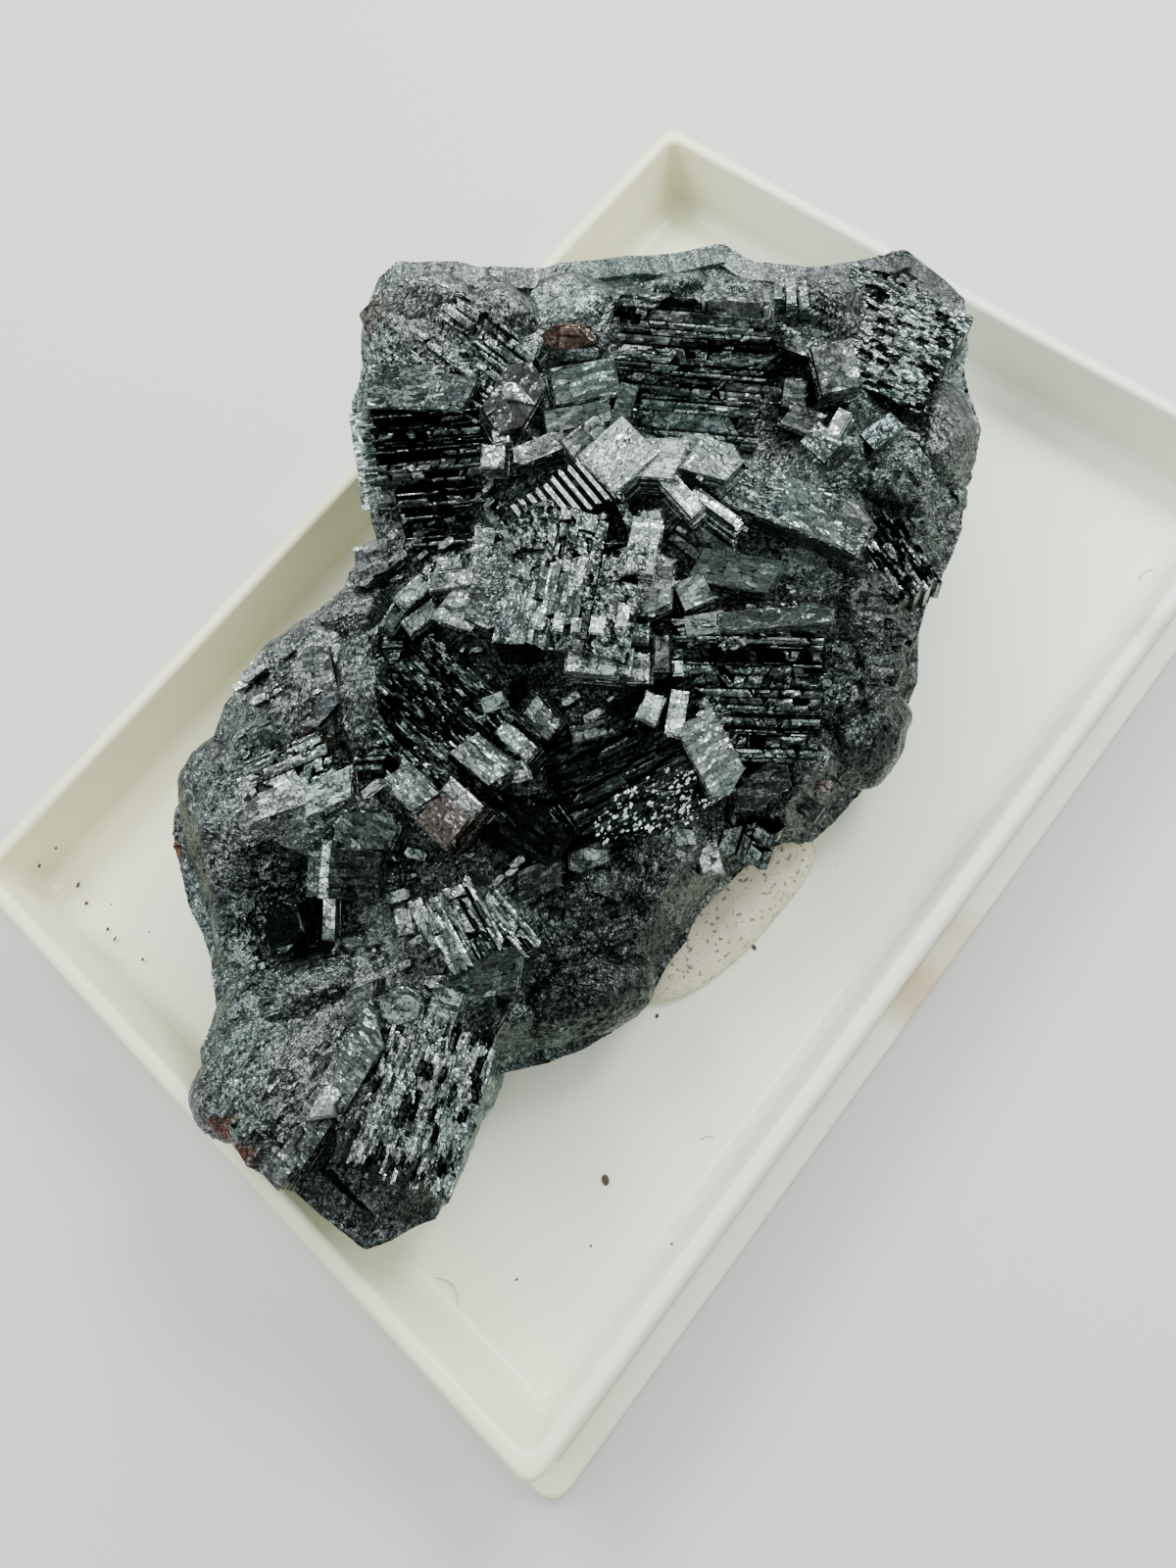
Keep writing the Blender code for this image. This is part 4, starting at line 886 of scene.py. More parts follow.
def raggedEnds(u, v, low, high, ragged, salt):
    # each lath ends at its own length
    cells = flatCells(np.floor(v / lathWide))
    far, near = (1 - ragged * hashed(cells, salt + k) ** 1.5 for k in (50, 51))
    share = np.clip((u - low) / (high - low) * 2 - 1, -1, 1)
    return (high + low) / 2 + (high - low) / 2 * share * np.where(share > 0, far, near)


def unevenEdge(local, s, t, long, wide, salt):
    # moves the points sideways unevenly and lets the patch fall away towards its edge
    wander = np.stack([softNoise(local, 1.6, salt + k) + 0.5 * softNoise(local, 0.7, salt + k)
                       for k in (80, 81)], -1)
    local[..., :2] += 0.5 * wander
    near = np.minimum(np.minimum(s, 1 - s) * long, np.minimum(t, 1 - t) * wide)
    local[..., 2] -= 1.4 * np.exp(-near / 0.9)


def closedPatch(local, depth):
    # the relief, walls down to its depth and a foot; returns the foot's own points too
    rows, columns = local.shape[:2]
    index = np.arange(rows * columns).reshape(rows, columns)
    quads = np.stack((index[:-1, :-1], index[1:, :-1], index[1:, 1:], index[:-1, 1:]), -1).reshape(-1, 4)
    rim = np.concatenate((index[:-1, 0], index[-1, :-1], index[:0:-1, -1], index[0, :0:-1]))
    foot = local.reshape(-1, 3)[rim].copy()
    foot[:, 2] = -depth
    under = index.size + np.arange(len(rim))
    quads = np.vstack((quads, np.stack((rim, under, np.roll(under, -1), np.roll(rim, -1)), -1)))
    tris = np.stack((np.roll(under, -1), under, np.full(len(rim), index.size + len(rim))), -1)
    return np.vstack((local.reshape(-1, 3), foot, foot.mean(0))), quads, tris, foot


def addPatch(patches, place, shape, kind, depth, tone, rust, salt,
             ragged=0.0, bands=0, steps=0.0, bevel=0.10):
    # u along the length, v across between the outline's sides; place turns it into the rock
    low, high = shape.min(0), shape.max(0)
    long, wide = high - low
    rows, columns = max(int(long / patchStep), 4), max(int(wide / patchStep), 4)
    s = np.linspace(0, 1, rows)[:, None]
    t = np.linspace(0, 1, columns)[None, :]
    u = low[0] + s * long + 0 * t
    bottom, top = outlineSpan(shape, u)
    v = bottom + t * (top - bottom)
    if ragged:
        u = raggedEnds(u, v, low[0], high[0], ragged, salt)
    height, lightness = faceRelief(u, v, kind, salt)
    if bands:
        wander = 0.35 * softNoise(np.stack((u, v, 0 * u), -1), 2.2, salt + 60)
        cells = flatCells(np.floor((t + 0 * s) * bands + wander))
        height = height - steps * hashed(cells, salt + 70)
        lightness = lightness + 0.16 * (hashed(cells, salt + 71) - 0.5)
    edge = np.minimum(np.minimum(s, 1 - s) * (rows - 1), np.minimum(t, 1 - t) * (columns - 1))
    local = np.stack((u, v, height - bevel * (edge < 0.5)), -1)
    if kind == "granular":
        unevenEdge(local, s, t, long, wide, salt)
    points, quads, tris, foot = closedPatch(local, depth)
    # painted shade: the walls darken down to the foot, which takes the tone less 0.1
    tones = np.clip(np.r_[(tone + lightness).ravel(), np.full(len(foot) + 1, tone - 0.1)], 0, 1)
    grain = np.vstack((np.stack((u, v), -1).reshape(-1, 2), foot[:, [0, 2]], foot[:1, [0, 2]]))
    grain = grain / (0.6 * faceKinds[kind][0], 0.6 * faceKinds[kind][1]) + salt * 3.3
    rusts = np.full(len(points), float(rust))
    patches.append((points @ place[:3] + place[3], quads, tris, tones, rusts, grain))


def addBlocks(patches, chance, place, shape, depth, steps, look, rust, salt):
    # rows across the outline, each cut into pieces of unlike lengths, each at its own height
    kinds, tone, rows, cuts, gap, missing = look
    low, high = shape[:, 1].min(), shape[:, 1].max()
    pitch = blockwork["narrow"] + blockwork["wide"] * chance.random(rows) ** 1.4
    edges = low + np.r_[0, np.cumsum(pitch)] / pitch.sum() * (high - low)
    for row in range(rows):
        middle, wide = (edges[row] + edges[row + 1]) / 2, edges[row + 1] - edges[row]
        first, last = outlineSpan(shape[:, ::-1], np.array((middle,)))
        length = last[0] - first[0]
        count = max(cuts + int(chance.integers(-1, 2)), 1)
        inner = np.sort(0.75 * chance.random(count - 1) + 0.25 * np.linspace(0, 1, count + 1)[1:-1])
        ends = first[0] + np.r_[0.04 * chance.random(), inner, 1 - 0.04 * chance.random()] * length
        rowDrop = 0.5 * steps * chance.random()
        wide *= 1 - min(2 * gap * chance.random(), 0.8)
        for cut in range(count):
            long = ends[cut + 1] - ends[cut] - blockwork["gap"]
            if long < blockwork["least"] or chance.random() < missing:
                continue
            drop = rowDrop + 0.7 * steps * chance.random() ** 1.7
            moved = place.copy()
            moved[3] = place[3] + np.array(((ends[cut] + ends[cut + 1]) / 2, middle, -drop)) @ place[:3]
            tilt = chance.normal(size=2) * blockwork["tilt"]
            moved[2] = moved[2] + tilt[0] * moved[0] + tilt[1] * moved[1]
            piece = outlineOf("block", long, wide)
            piece[:, 0] += blockwork["skew"] * chance.normal() * piece[:, 1]
            # painted shade: the lower a piece is dropped, the darker its tone
            lightness = tone + 0.20 * (chance.random() - 0.5) - 0.12 * drop / max(steps, 0.1)
            addPatch(patches, moved, piece, kinds[chance.integers(len(kinds))], depth - drop, lightness, rust,
                     salt + row * 11 + cut, bevel=0.06)


def makeCrystals():
    # a pile of plates with a face of its kind on top; granular ones are all relief
    chance = np.random.default_rng(11)
    store, patches, rough = PrismStore(), [], []
    for number, row in enumerate(crystals):
        x, y, z, length, width, depth, turn, tip, lean, habit, kind, tone, rust = row
        place = crystalPlaces((x, y, z), turn, tip, lean)
        shape = outlineOf(habit, length, width)
        salt = 100 + number * 3
        if kind == "granular":
            addPatch(rough, place, shape, kind, depth, tone, rust, salt)
            continue
        # painted shade: the plates under the top face are toned 0.08 darker than it
        addPlates(store, chance, place[None], shape, depth, tone - 0.08, rust)
        rows, cuts = int(width / blockwork["pieceWide"]), int(length / blockwork["pieceLong"]) + 1
        if kind in ("tiled", "striped") and rows > 1:
            look = ((kind, kind, "pitted"), tone, rows, cuts, 0.02, 0.0)
            addBlocks(patches, chance, place, shape * 0.98, blockwork["deep"], blockwork["steps"], look,
                      rust, salt)
        else:
            addPatch(patches, place, shape * 0.96, kind, 0.9, tone, rust, salt)
    store.pieces("crystal_plates", crystalFinish)
    patchPiece("crystal_faces_0", crystalFinish, patches)
    patchPiece("granular_faces_0", oreGrainFinish, rough)


makeCrystals()
print("single crystals made")

# Crystals of laths: x, y, z, length, width, depth, turn, tip, lean, laths, ragged, steps
lathed = [
    (-8.6, 20.4, 35.6, 12, 9, 8, -42, 4, 10, 7, 0.25, 0.6),
    (-12.1, 9.9, 31.1, 11.6, 12.5, 9, 3, 2, 42, 9, 0.1, 0.9),
    (11.2, 18.4, 32.4, 14, 13, 9, -9, 2, 36, 10, 0.3, 0.9),
    (29.2, 24.8, 26.4, 12.5, 10.4, 9, -32, 6, 12, 9, 0.15, 0.5),
    (28.2, 5.4, 21, 9.4, 5, 7, -64, 6, 6, 4, 0.2, 0.8),
    (1.4, -1.2, 34, 12.6, 11.4, 10, 78, -6, 0, 8, 0.05, 0.5),
    (15, -9.2, 26.8, 12.5, 12, 10, -3, 2, 30, 8, 0.1, 0.7),
    (6, -15.2, 24.4, 15, 10.5, 9, 24, -8, 34, 7, 0.25, 0.9),
    (-10.5, -11.5, 28, 14, 10, 9, -43, 8, 12, 7, 0.25, 0.8),
    (-9, -27.4, 24.8, 6.5, 5, 8, -60, 8, 0, 4, 0.25, 0.5),
    (-5.2, -27, 23.4, 6, 2, 7, -48, 8, 0, 2, 0.2, 0.5),
    (-24, -14.8, 26.4, 7.5, 4.6, 6, 22, 0, 18, 3, 0.2, 0.5),
    (13.8, -19, 14.8, 3.6, 5.5, 6, 68, -20, 0, 4, 0.2, 0.6),
    (-11.8, -40.6, 22.6, 13, 8.6, 8, 72, -4, 22, 7, 0.2, 0.4),
    (-16.8, -7.2, 26.0, 3.6, 15, 6, -6, -22, 0, 2, 0.2, 0.5),
]
# the kind, raggedness and tone of each of them; those with more than one kind are blockwork
# instead: kinds, tone, rows, pieces to a row, share of a row that is gap, share left out
lathFaces = [
    (("striped", "clean"), 0.54, 11, 8, 0.40, 0.30), (("striped", "clean"), 0.54, 23, 9, 0.50, 0.30),
    (("laminated", "clean", "smooth", "striped"), 0.52, 15, 3, 0.12, 0.04), ("pocked", 0.04, 0.56),
    ("combed", 0.08, 0.46), (("barred", "tiled", "pitted"), 0.46, 7, 4, 0.02, 0.0),
    (("tiled", "striped", "pitted"), 0.50, 17, 8, 0.20, 0.10), ("mirror", 0.10, 0.08),
    ("combed", 0.10, 0.36), (("striped", "clean"), 0.60, 6, 2, 0.10, 0.0),
    (("striped", "clean"), 0.56, 3, 2, 0.14, 0.0), (("striped", "tiled"), 0.62, 6, 4, 0.08, 0.0),
    (("striped", "clean"), 0.5, 5, 3, 0.12, 0.0), ("pocked", 0.05, 0.6),
    (("striped", "clean"), 0.46, 26, 1, 0.25, 0.05),
]


def makeLaths():
    # each bundle is one patch of ragged laths, or blockwork
    chance = np.random.default_rng(23)
    patches = []
    for number, (row, look) in enumerate(zip(lathed, lathFaces)):
        x, y, z, length, width, depth, turn, tip, lean, laths, ragged, steps = row
        place = crystalPlaces((x, y, z), turn, tip, lean)
        shape = outlineOf("block", length, width)
        if len(look) > 3:
            addBlocks(patches, chance, place, shape, depth, steps, look, 0.0, 600 + 150 * number)
            continue
        kind, uneven, tone = look
        addPatch(patches, place, shape, kind, depth, tone, 0.0, 500 + 3 * number, 0.6 * ragged + uneven,
                 laths, steps, 0.0)
    patchPiece("lath_bundles_0", crystalFinish, patches)


makeLaths()
print("laths made")

# The stack of thin bright fins that climbs to the light block on the crest
fins = {"first": (-3.3, 5.7, 31.4), "last": (4.0, 7.4, 35.4), "count": 10, "turn": 38, "lean": 12,
        "leaves": (-0.13, 0.0, 0.12), "halfThick": 0.075, "halfLong": (1.6, 1.0), "deep": 5.0, "drop": 0.35}


def makeFins():
    # each fin lies share of the way from the first to the last, in three thin leaves
    chance = np.random.default_rng(5)
    store = PrismStore()
    count = fins["count"]
    share = np.linspace(0, 1, count)[:, None]
    at = np.array(fins["first"]) * (1 - share) + np.array(fins["last"]) * share
    places = crystalPlaces(at, fins["turn"], 0.0, fins["lean"])
    for offset in fins["leaves"]:
        half = (fins["halfLong"][0] + fins["halfLong"][1] * share[:, 0]) * chance.uniform(0.82, 1.0, count)
        across = np.full(count, fins["halfThick"])
        shapes = boxShapes(np.full(count, offset), 0 * half, across, half, 0 * half)
        drop = chance.uniform(0.0, fins["drop"], count)
        store.add(places, shapes, -fins["deep"], -drop, tone=0.75 + 0.2 * chance.random(count))
    store.pieces("crest_fins", crystalFinish)


makeFins()

# Small crystals and grains that grew over the massive hematite
smallGrowth = {
    "crystals": 420, "grains": 5200, "lowest": 9.0, "lowestCrystal": 19.0, "widest": 26, "upright": 0.7,
    "levels": (1.0, 0.96, 0.9), "crystalSize": (2.0, 1.3), "middleSize": 0.55, "levelHigh": 0.28,
    "deep": 1.6, "grainDeep": 0.7, "crystalTurns": (6, 5, 6), "grainTurns": (12, 14, 14),
}


def nearestLie(points):
    # turn, tip and lean of the nearest large crystal
    centres = np.array([row[:3] for row in crystals + lathed], float)
    lies = np.array([row[6:9] for row in crystals + lathed], float)
    gap = ((points[:, None] - centres) ** 2).sum(-1)
    return lies[np.argmin(gap, axis=1)]


def growthWeights():
    # the further from the middle a point lies, the more surface it stands for
    reach = np.linalg.norm(skinAt[:, :2] - massive["centre"], axis=-1)
    weight = reach * (skinAt[:, 2] > smallGrowth["lowest"])
    weight = weight / weight.sum()
    inner = weight * (skinAt[:, 2] > smallGrowth["lowestCrystal"]) * (reach < smallGrowth["widest"])
    weight = weight * (skinNormals[:, 2] > smallGrowth["upright"])
    return inner / inner.sum(), weight / weight.sum()


def makeSmallCrystals(chance, weights):
    # three plates each, lying like the nearest large crystal
    g, store = smallGrowth, PrismStore()
    pick = chance.choice(len(skinAt), g["crystals"], p=weights)
    at = skinAt[pick] + skinNormals[pick] * chance.uniform(0.1, 0.9, (len(pick), 1))
    lie = nearestLie(at) + chance.normal(size=(len(pick), 3)) * g["crystalTurns"]
    places = crystalPlaces(at, *lie.T)
    size = g["middleSize"] * np.exp(0.45 * chance.normal(size=len(pick)))
    base = outlineOf("hex", *g["crystalSize"])[None] * size[:, None, None]
    for level, grow in enumerate(g["levels"]):
        low = -0.5 if level else -g["deep"] * size
        # painted light: each plate higher up is toned 0.15 lighter, so the tops read brighter than the plates
        # below
        tones = np.clip(skinTone[pick] + 0.15 * level, 0, 1)
        store.add(places, base * grow, low, g["levelHigh"] * size * level, 0.05, tone=tones)
    store.pieces("small_crystals", crystalFinish)


def makeGrains(chance, weights):
    # small blocks along the grain of the nearest spot, leaning with the surface
    g, store = smallGrowth, PrismStore()
    pick = chance.choice(len(skinAt), g["grains"], p=weights)
    spot = nearestSpot(skinAt[pick])
    normal = skinNormals[pick]
    lean, tip = (np.degrees(np.arctan2(side, np.maximum(normal[:, 2], 0.2)))
                 for side in (-normal[:, 1], normal[:, 0]))
    noise = chance.normal(size=(len(pick), 3)) * g["grainTurns"]
    at = skinAt[pick] + normal * chance.uniform(-0.28, 0.04, (len(pick), 1))
    places = crystalPlaces(at, spot[:, 2] + noise[:, 0], tip * 0.7 + noise[:, 1], lean * 0.7 + noise[:, 2])
    size = chance.uniform(0.5, 1.1, len(pick))
    shapes = boxShapes(0 * size, 0 * size, 0.5 * spot[:, 3] * size, 0.42 * spot[:, 4] * size, 0.1 * size)
    tones = np.clip(skinTone[pick] + 0.3 * (size - 0.8), 0, 1)
    store.add(places, shapes, -g["grainDeep"], 0.05 * size, tone=tones)
    store.pieces("ore_grains", oreGrainFinish)


# bright points over the lower part of the black mirror block: how many, and the middle, half
# sizes, turn and lean of the oval that they lie in
glints = {"count": 280, "middle": (7.4, -17.4, 23.4), "spread": (6.0, 2.6, 1.4), "turn": 24, "lean": 34,
          "deep": 0.9, "bevel": 0.03, "tone": 0.97}


def makeGlints():
    # small square tops scattered evenly over a tilted oval
    chance = np.random.default_rng(77)
    angle, reach = chance.uniform(0, 2 * np.pi, glints["count"]), np.sqrt(chance.random(glints["count"]))
    rise = chance.uniform(-0.4, 0.5, glints["count"])
    tilted = crystalPlaces(glints["middle"], glints["turn"], 0.0, glints["lean"])
    at = (np.stack((reach * np.cos(angle), reach * np.sin(angle), rise), -1) * glints["spread"]) @ tilted[:3]
    at = at + tilted[3]
    store = PrismStore()
    places = crystalPlaces(at, chance.uniform(0, 60, len(at)), 0.0, chance.uniform(5, 30, len(at)))
    half = 0.04 + 0.15 * chance.random(len(at)) ** 2.5
    shapes = boxShapes(0 * half, 0 * half, half * 1.4, half * 0.7, 0.1 * half)
    store.add(places, shapes, -glints["deep"], 0.0, glints["bevel"], tone=glints["tone"])
    store.pieces("mirror_glints", crystalFinish)


growthChance = np.random.default_rng(31)
crystalWeights, grainWeights = growthWeights()
makeSmallCrystals(growthChance, crystalWeights)
makeGrains(growthChance, grainWeights)
makeGlints()
print("small growth made")

# The box base; its section runs from the foot up over the rim and down to the floor, in mm out
# from the rim's outer edge and up
boxBase = {
    "rimLong": 110.0, "rimShort": 73.8, "high": 12.0, "wall": 1.7, "floorTop": 3.0, "floorInset": 2.8,
    "flangeOut": 2.2, "flangeHigh": 1.5, "corner": 1.6, "innerCorner": 1.3, "cornerSteps": 14,
    "edge": 0.35, "foot": 0.32, "lip": 0.72, "innerLip": 0.6, "fillet": 1.9,
}
plasticLook = {
    # the slight green tint of the white and the yellow are painted colour casts of the light; the plastic
    # itself is white
    "white": (0.84, 0.90, 0.76), "yellow": (0.90, 0.88, 0.55),
    "seam": (0.30, 0.24, 0.16), "dirt": (0.20, 0.17, 0.13),
    # the yellow, a painted warm light cast, grows with y in mm, give or take the cloud's wander, or at the
    # left end with
    # -1.5 x - 50, both over the length of the fade
    "farScale": 1000.0, "leftScale": -1500.0, "leftStart": -50.0, "wander": 10.0, "fade": 42.0,
    "fadeStops": ((0.38, 0.0), (0.72, 0.5), (0.93, 1.0)),
    # height of the dark brown band over the flange, in steps of 10 mm
    "seamStops": ((0.1515, 0.0), (0.157, 0.55), (0.185, 0.4), (0.24, 0.0)), "seamScale": 100.0,
    "dust": (1900.0, 1.0), "dustStops": ((0.745, 0.0), (0.80, 0.5)),
    "patch": (130.0, 2.0), "patchStops": ((0.5, 0.0), (0.75, 1.0)),
    "cloud": (60.0, 3.0), "roughStops": ((0.3, 0.26), (0.7, 0.40)),
    "bump": (0.12, 0.0002), "bumpNoise": (320.0, 3.0),
    "subsurface": {"Subsurface Weight": 0.12, "Subsurface Radius": (0.003, 0.0026, 0.002),
                   "Subsurface Scale": 0.6},
}
# middle, size, colour and strength of each stain on the plastic
boxStains = [
    ((-4.2, -38.8, 1.5), 4.2, (0.52, 0.30, 0.07), 0.6), ((1.8, -38.8, 1.3), 4.0, (0.58, 0.42, 0.14), 0.45),
    ((33.4, -35.6, 10.8), 2.6, (0.55, 0.42, 0.20), 0.6),
    ((21.8, -35.6, 10.8), 2.0, (0.55, 0.44, 0.24), 0.45),
    ((-52.6, 24.0, 5.0), 4.5, (0.45, 0.40, 0.30), 0.3), ((-50.5, 32.0, 5.0), 5.0, (0.45, 0.40, 0.30), 0.3),
]


def plasticFinish():
    # white moulded plastic under a painted warm light cast, cream-yellow along the far wall and at the left
    # end, with brown stains, a dark brown band where the wall stands on the flange, and faint dust in patches
    look, finish = plasticLook, newFinish("box_plastic_white")
    x, y, z = finish.parts(finish.place)
    cloud = finish.noise(*look["cloud"])
    far = finish.sum("MULTIPLY", y, look["farScale"])
    far = finish.sum("ADD", far, finish.sum("MULTIPLY_ADD", cloud, look["wander"], -look["wander"] / 2))
    left = finish.sum("MULTIPLY_ADD", x, look["leftScale"], look["leftStart"])
    share = finish.sum("DIVIDE", finish.sum("MAXIMUM", far, left), look["fade"])
    # painted light: a warm cast, cream-yellow towards the far wall and the left end
    colour = finish.mix(finish.ramp(share, look["fadeStops"]), look["white"], look["yellow"])
    for centre, size, stain, strength in boxStains:
        away = finish.vector("DISTANCE", finish.place, [c * mm for c in centre])
        away = finish.sum("DIVIDE", finish.spread(away, cloud, size * mm), size * mm)
        colour = finish.mix(finish.ramp(away, ((0.3, strength), (1.0, 0.0))), colour, stain)
    # a dark brown band, broken up by the cloud, just above the flange where the wall stands on it
    seam = finish.ramp(finish.sum("MULTIPLY", z, look["seamScale"]), look["seamStops"])
    colour = finish.mix(finish.sum("MULTIPLY", seam, cloud), colour, look["seam"])
    dust = finish.ramp(finish.noise(*look["dust"]), look["dustStops"])
    patch = finish.ramp(finish.noise(*look["patch"]), look["patchStops"])
    colour = finish.mix(finish.sum("MULTIPLY", dust, patch), colour, look["dirt"])
    normal = finish.bump(finish.noise(*look["bumpNoise"]), *look["bump"])
    rough = finish.ramp(cloud, look["roughStops"])
    return finish.shade({"Base Color": colour, "Roughness": rough, "Normal": normal, **look["subsurface"]})


def arcPoints(middle, radius, first, last, steps):
    # middle + radius (cos a, sin a), for angles between first and last in degrees
    angle = np.radians(np.linspace(first, last, steps))
    return [(middle[0] + radius * math.cos(a), middle[1] + radius * math.sin(a)) for a in angle]


def roundedRing(out, z):
    # corner middle + corner radius (cos a, sin a), four quarter turns joined by straight sides
    radius = max(boxBase["corner"] + 0.2 * max(out, 0.0) + min(out, 0.0), boxBase["innerCorner"])
    quarter = np.radians(np.linspace(0, 90, boxBase["cornerSteps"] + 1))
    angle = quarter[None, :] + np.radians((0, 90, 180, 270))[:, None]
    middleX = (boxBase["rimLong"] / 2 + out - radius) * np.array((1, -1, -1, 1))[:, None]
    middleY = (boxBase["rimShort"] / 2 + out - radius) * np.array((1, 1, -1, -1))[:, None]
    x = middleX + radius * np.cos(angle)
    y = middleY + radius * np.sin(angle)
    return np.stack((x.ravel(), y.ravel(), np.full(x.size, z)), -1)


def makeBoxBase():
    # the wall's section carried round a rectangle with round corners
    b = boxBase
    out, high, floor, shelf, inner, bottom = (
        b["flangeOut"], b["high"], b["floorTop"], b["flangeHigh"], -b["wall"], -b["floorInset"])
    edge, foot, lip, innerLip, fillet = (b[name] for name in ("edge", "foot", "lip", "innerLip", "fillet"))
    section = [(out - 0.9, 0.0), (out - 0.4, 0.0)] + arcPoints((out - edge, edge), edge, -90, 0, 6)
    section += arcPoints((out - edge, shelf - edge), edge, 0, 90, 6)
    section += [(0.75, shelf)] + arcPoints((0.45, shelf + foot), foot, -90, -180, 6)
    section += [(0.04, high - 3.0)] + arcPoints((-lip, high - lip - 0.02), lip, 0, 90, 9)
    section += arcPoints((inner + innerLip + 0.02, high - innerLip - 0.02), innerLip, 90, 172, 8)
    section += [(inner - 0.35, high - 3.6), (bottom + 0.22, floor + fillet - 0.15)]
    section += arcPoints((bottom - 1.62, floor + fillet), fillet, -8, -90, 12)[1:]
    section += [(bottom - 2.2, floor)]
    points, quads, tris = closedGrid(np.stack([roundedRing(o, z) for o, z in section]))
    tray = makePiece("white_box_base", rowPoints(points), quads, plasticFinish(), tris, True)
    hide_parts("box_base")


makeBoxBase()
print("box base made")

# The putty: the rings up to the fold lie on the box's floor, the rest is the cushion
puttyShape = {"middle": (11.0, -21.5), "foot": 3.32, "high": 2.7, "around": 220, "rings": 46, "fold": 0.15,
              "reach": (0.04, 0.96), "fall": 1.3, "rounds": 4,
              "dents": ((0.16, 2.4, 71), (0.06, 0.8, 72)), "dentsFrom": 0.3}
puttyOutline = np.array([
    (4, -31.5), (6.5, -31.3), (9, -30.2), (11.6, -28.4), (14.2, -26.2), (16.4, -23.8), (18.8, -21.2),
    (20.6, -18.4), (20.8, -15), (18, -12.4), (13.6, -11.8), (9.4, -13), (5.6, -16), (3, -20), (1.6, -24.4),
    (1.8, -28.6),
])


def puttyFinish():
    # matt cream with a soft cloud and dark flecks
    finish = newFinish("cream_putty")
    colour = finish.mix(finish.noise(380.0, 4.0), (0.50, 0.475, 0.32), (0.72, 0.705, 0.54))
    flecks = finish.ramp(finish.noise(2100.0, 2.0), ((0.585, 0.0), (0.66, 0.85)))
    colour = finish.mix(flecks, colour, (0.10, 0.085, 0.06))
    normal = finish.bump(finish.noise(900.0, 4.0), 0.5, 0.00025)
    return finish.shade({"Base Color": colour, "Roughness": 0.85, "Normal": normal})


def makePutty():
    # middle + reach (outline - middle), the height falling off as high * sqrt(1 - reach^4)
    p = puttyShape
    rim = evenSteps(puttyOutline, p["around"])
    for step in range(p["rounds"]):
        rim = (np.roll(rim, 3, 0) + 2 * rim + np.roll(rim, -3, 0)) / 4
    turn = np.linspace(0, 1, p["rings"])
    under = turn < p["fold"]
    least, most = p["reach"]
    over = np.clip(turn - p["fold"], 0, 1) / (1 - p["fold"])
    reach = np.where(under, least + (most - least) * turn / p["fold"], 1.0 - most * over ** p["fall"])
    lift = np.where(under, 0.0, p["high"] * (1 - reach ** 4) ** 0.5)
    x, y = drawnIn(rim, p["middle"], reach)
    grid = np.stack((x, y, p["foot"] + lift[:, None] + 0 * x), -1)
    dent = sum(deep * softNoise(grid, size, salt) for deep, size, salt in p["dents"])
    grid[..., 2] += dent * (lift > p["dentsFrom"])[:, None]
    points, quads, tris = closedGrid(grid)
    inBox = intoRow(points)
    inBox[:, 2] = points[:, 2] * mm
    pad = makePiece("pressed_putty", inBox, quads, puttyFinish(), tris, True)
    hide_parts("mounting_putty")


makePutty()
print("putty made")

# Dust and crumbs on the box: x, y, z in the box's own frame, length, width, turn
crumbs = np.array([
    (-35.2, -26.8, 3.0, 0.95, 0.62, 50), (-40.0, -29.1, 3.0, 0.22, 0.18, 0),
    (-35.0, -34.3, 5.4, 0.24, 0.2, 0), (-50.0, 31.6, 3.1, 0.62, 0.3, 20),
    (-48.4, 34.7, 6.5, 0.55, 0.36, 80), (-50.6, 34.2, 7.2, 0.5, 0.3, 30), (-50.6, 29.4, 3.3, 0.4, 0.34, 0),
    (-50.8, 25.6, 3.4, 0.36, 0.3, 40), (-50.9, 24.3, 3.4, 0.5, 0.26, 10), (-50.4, 20.6, 3.3, 0.3, 0.26, 0),
    (-46.3, -25.9, 3.0, 0.24, 0.2, 0), (-11.0, -24.8, 3.0, 0.6, 0.42, 70),
    (-21.5, -21.7, 3.0, 0.4, 0.34, 20), (-49.0, 27.4, 3.0, 0.2, 0.16, 0), (-48.2, 22.2, 3.0, 0.18, 0.14, 0),
])
crumbGrid = {"around": 14, "rows": 8, "latitudes": (-1.3, 1.3), "uneven": 0.3}
# fibres: first end, last end, how far each bows sideways and its thickness
fibres = np.array([
    (-51.0, -20.4, 3.2, -51.2, -23.4, 3.2, 0.7, 0.06), (-27.1, -31.1, 3.1, -26.2, -31.9, 3.1, 0.2, 0.05),
    (41.0, -32.6, 3.1, 42.7, -33.0, 3.1, 0.3, 0.06),
])
fibreGrid = {"steps": 16, "around": 6}


def plainFinish(name, colour, rough):
    finish = newFinish(name)
    grain = finish.mix(finish.noise(3000.0, 2.0), tuple(0.5 * c for c in colour), colour)
    return finish.shade({"Base Color": grain, "Roughness": rough})


def makeCrumbs():
    # uneven balls sunk a little in the plastic
    ball = ballGrid(crumbGrid["around"], crumbGrid["rows"], *crumbGrid["latitudes"])
    parts = [closedGrid(unevenBall(ball, (x, y, z + wide / 6), (long / 2, wide / 2, wide / 2.4), turn,
                                   crumbGrid["uneven"], 0.7, number))
             for number, (x, y, z, long, wide, turn) in enumerate(crumbs)]
    points, quads, tris = joinParts(parts)
    finish = plainFinish("crumb_brown", (0.09, 0.05, 0.035), 0.7)
    makePiece("loose_crumbs", rowPoints(points), quads, finish, tris)


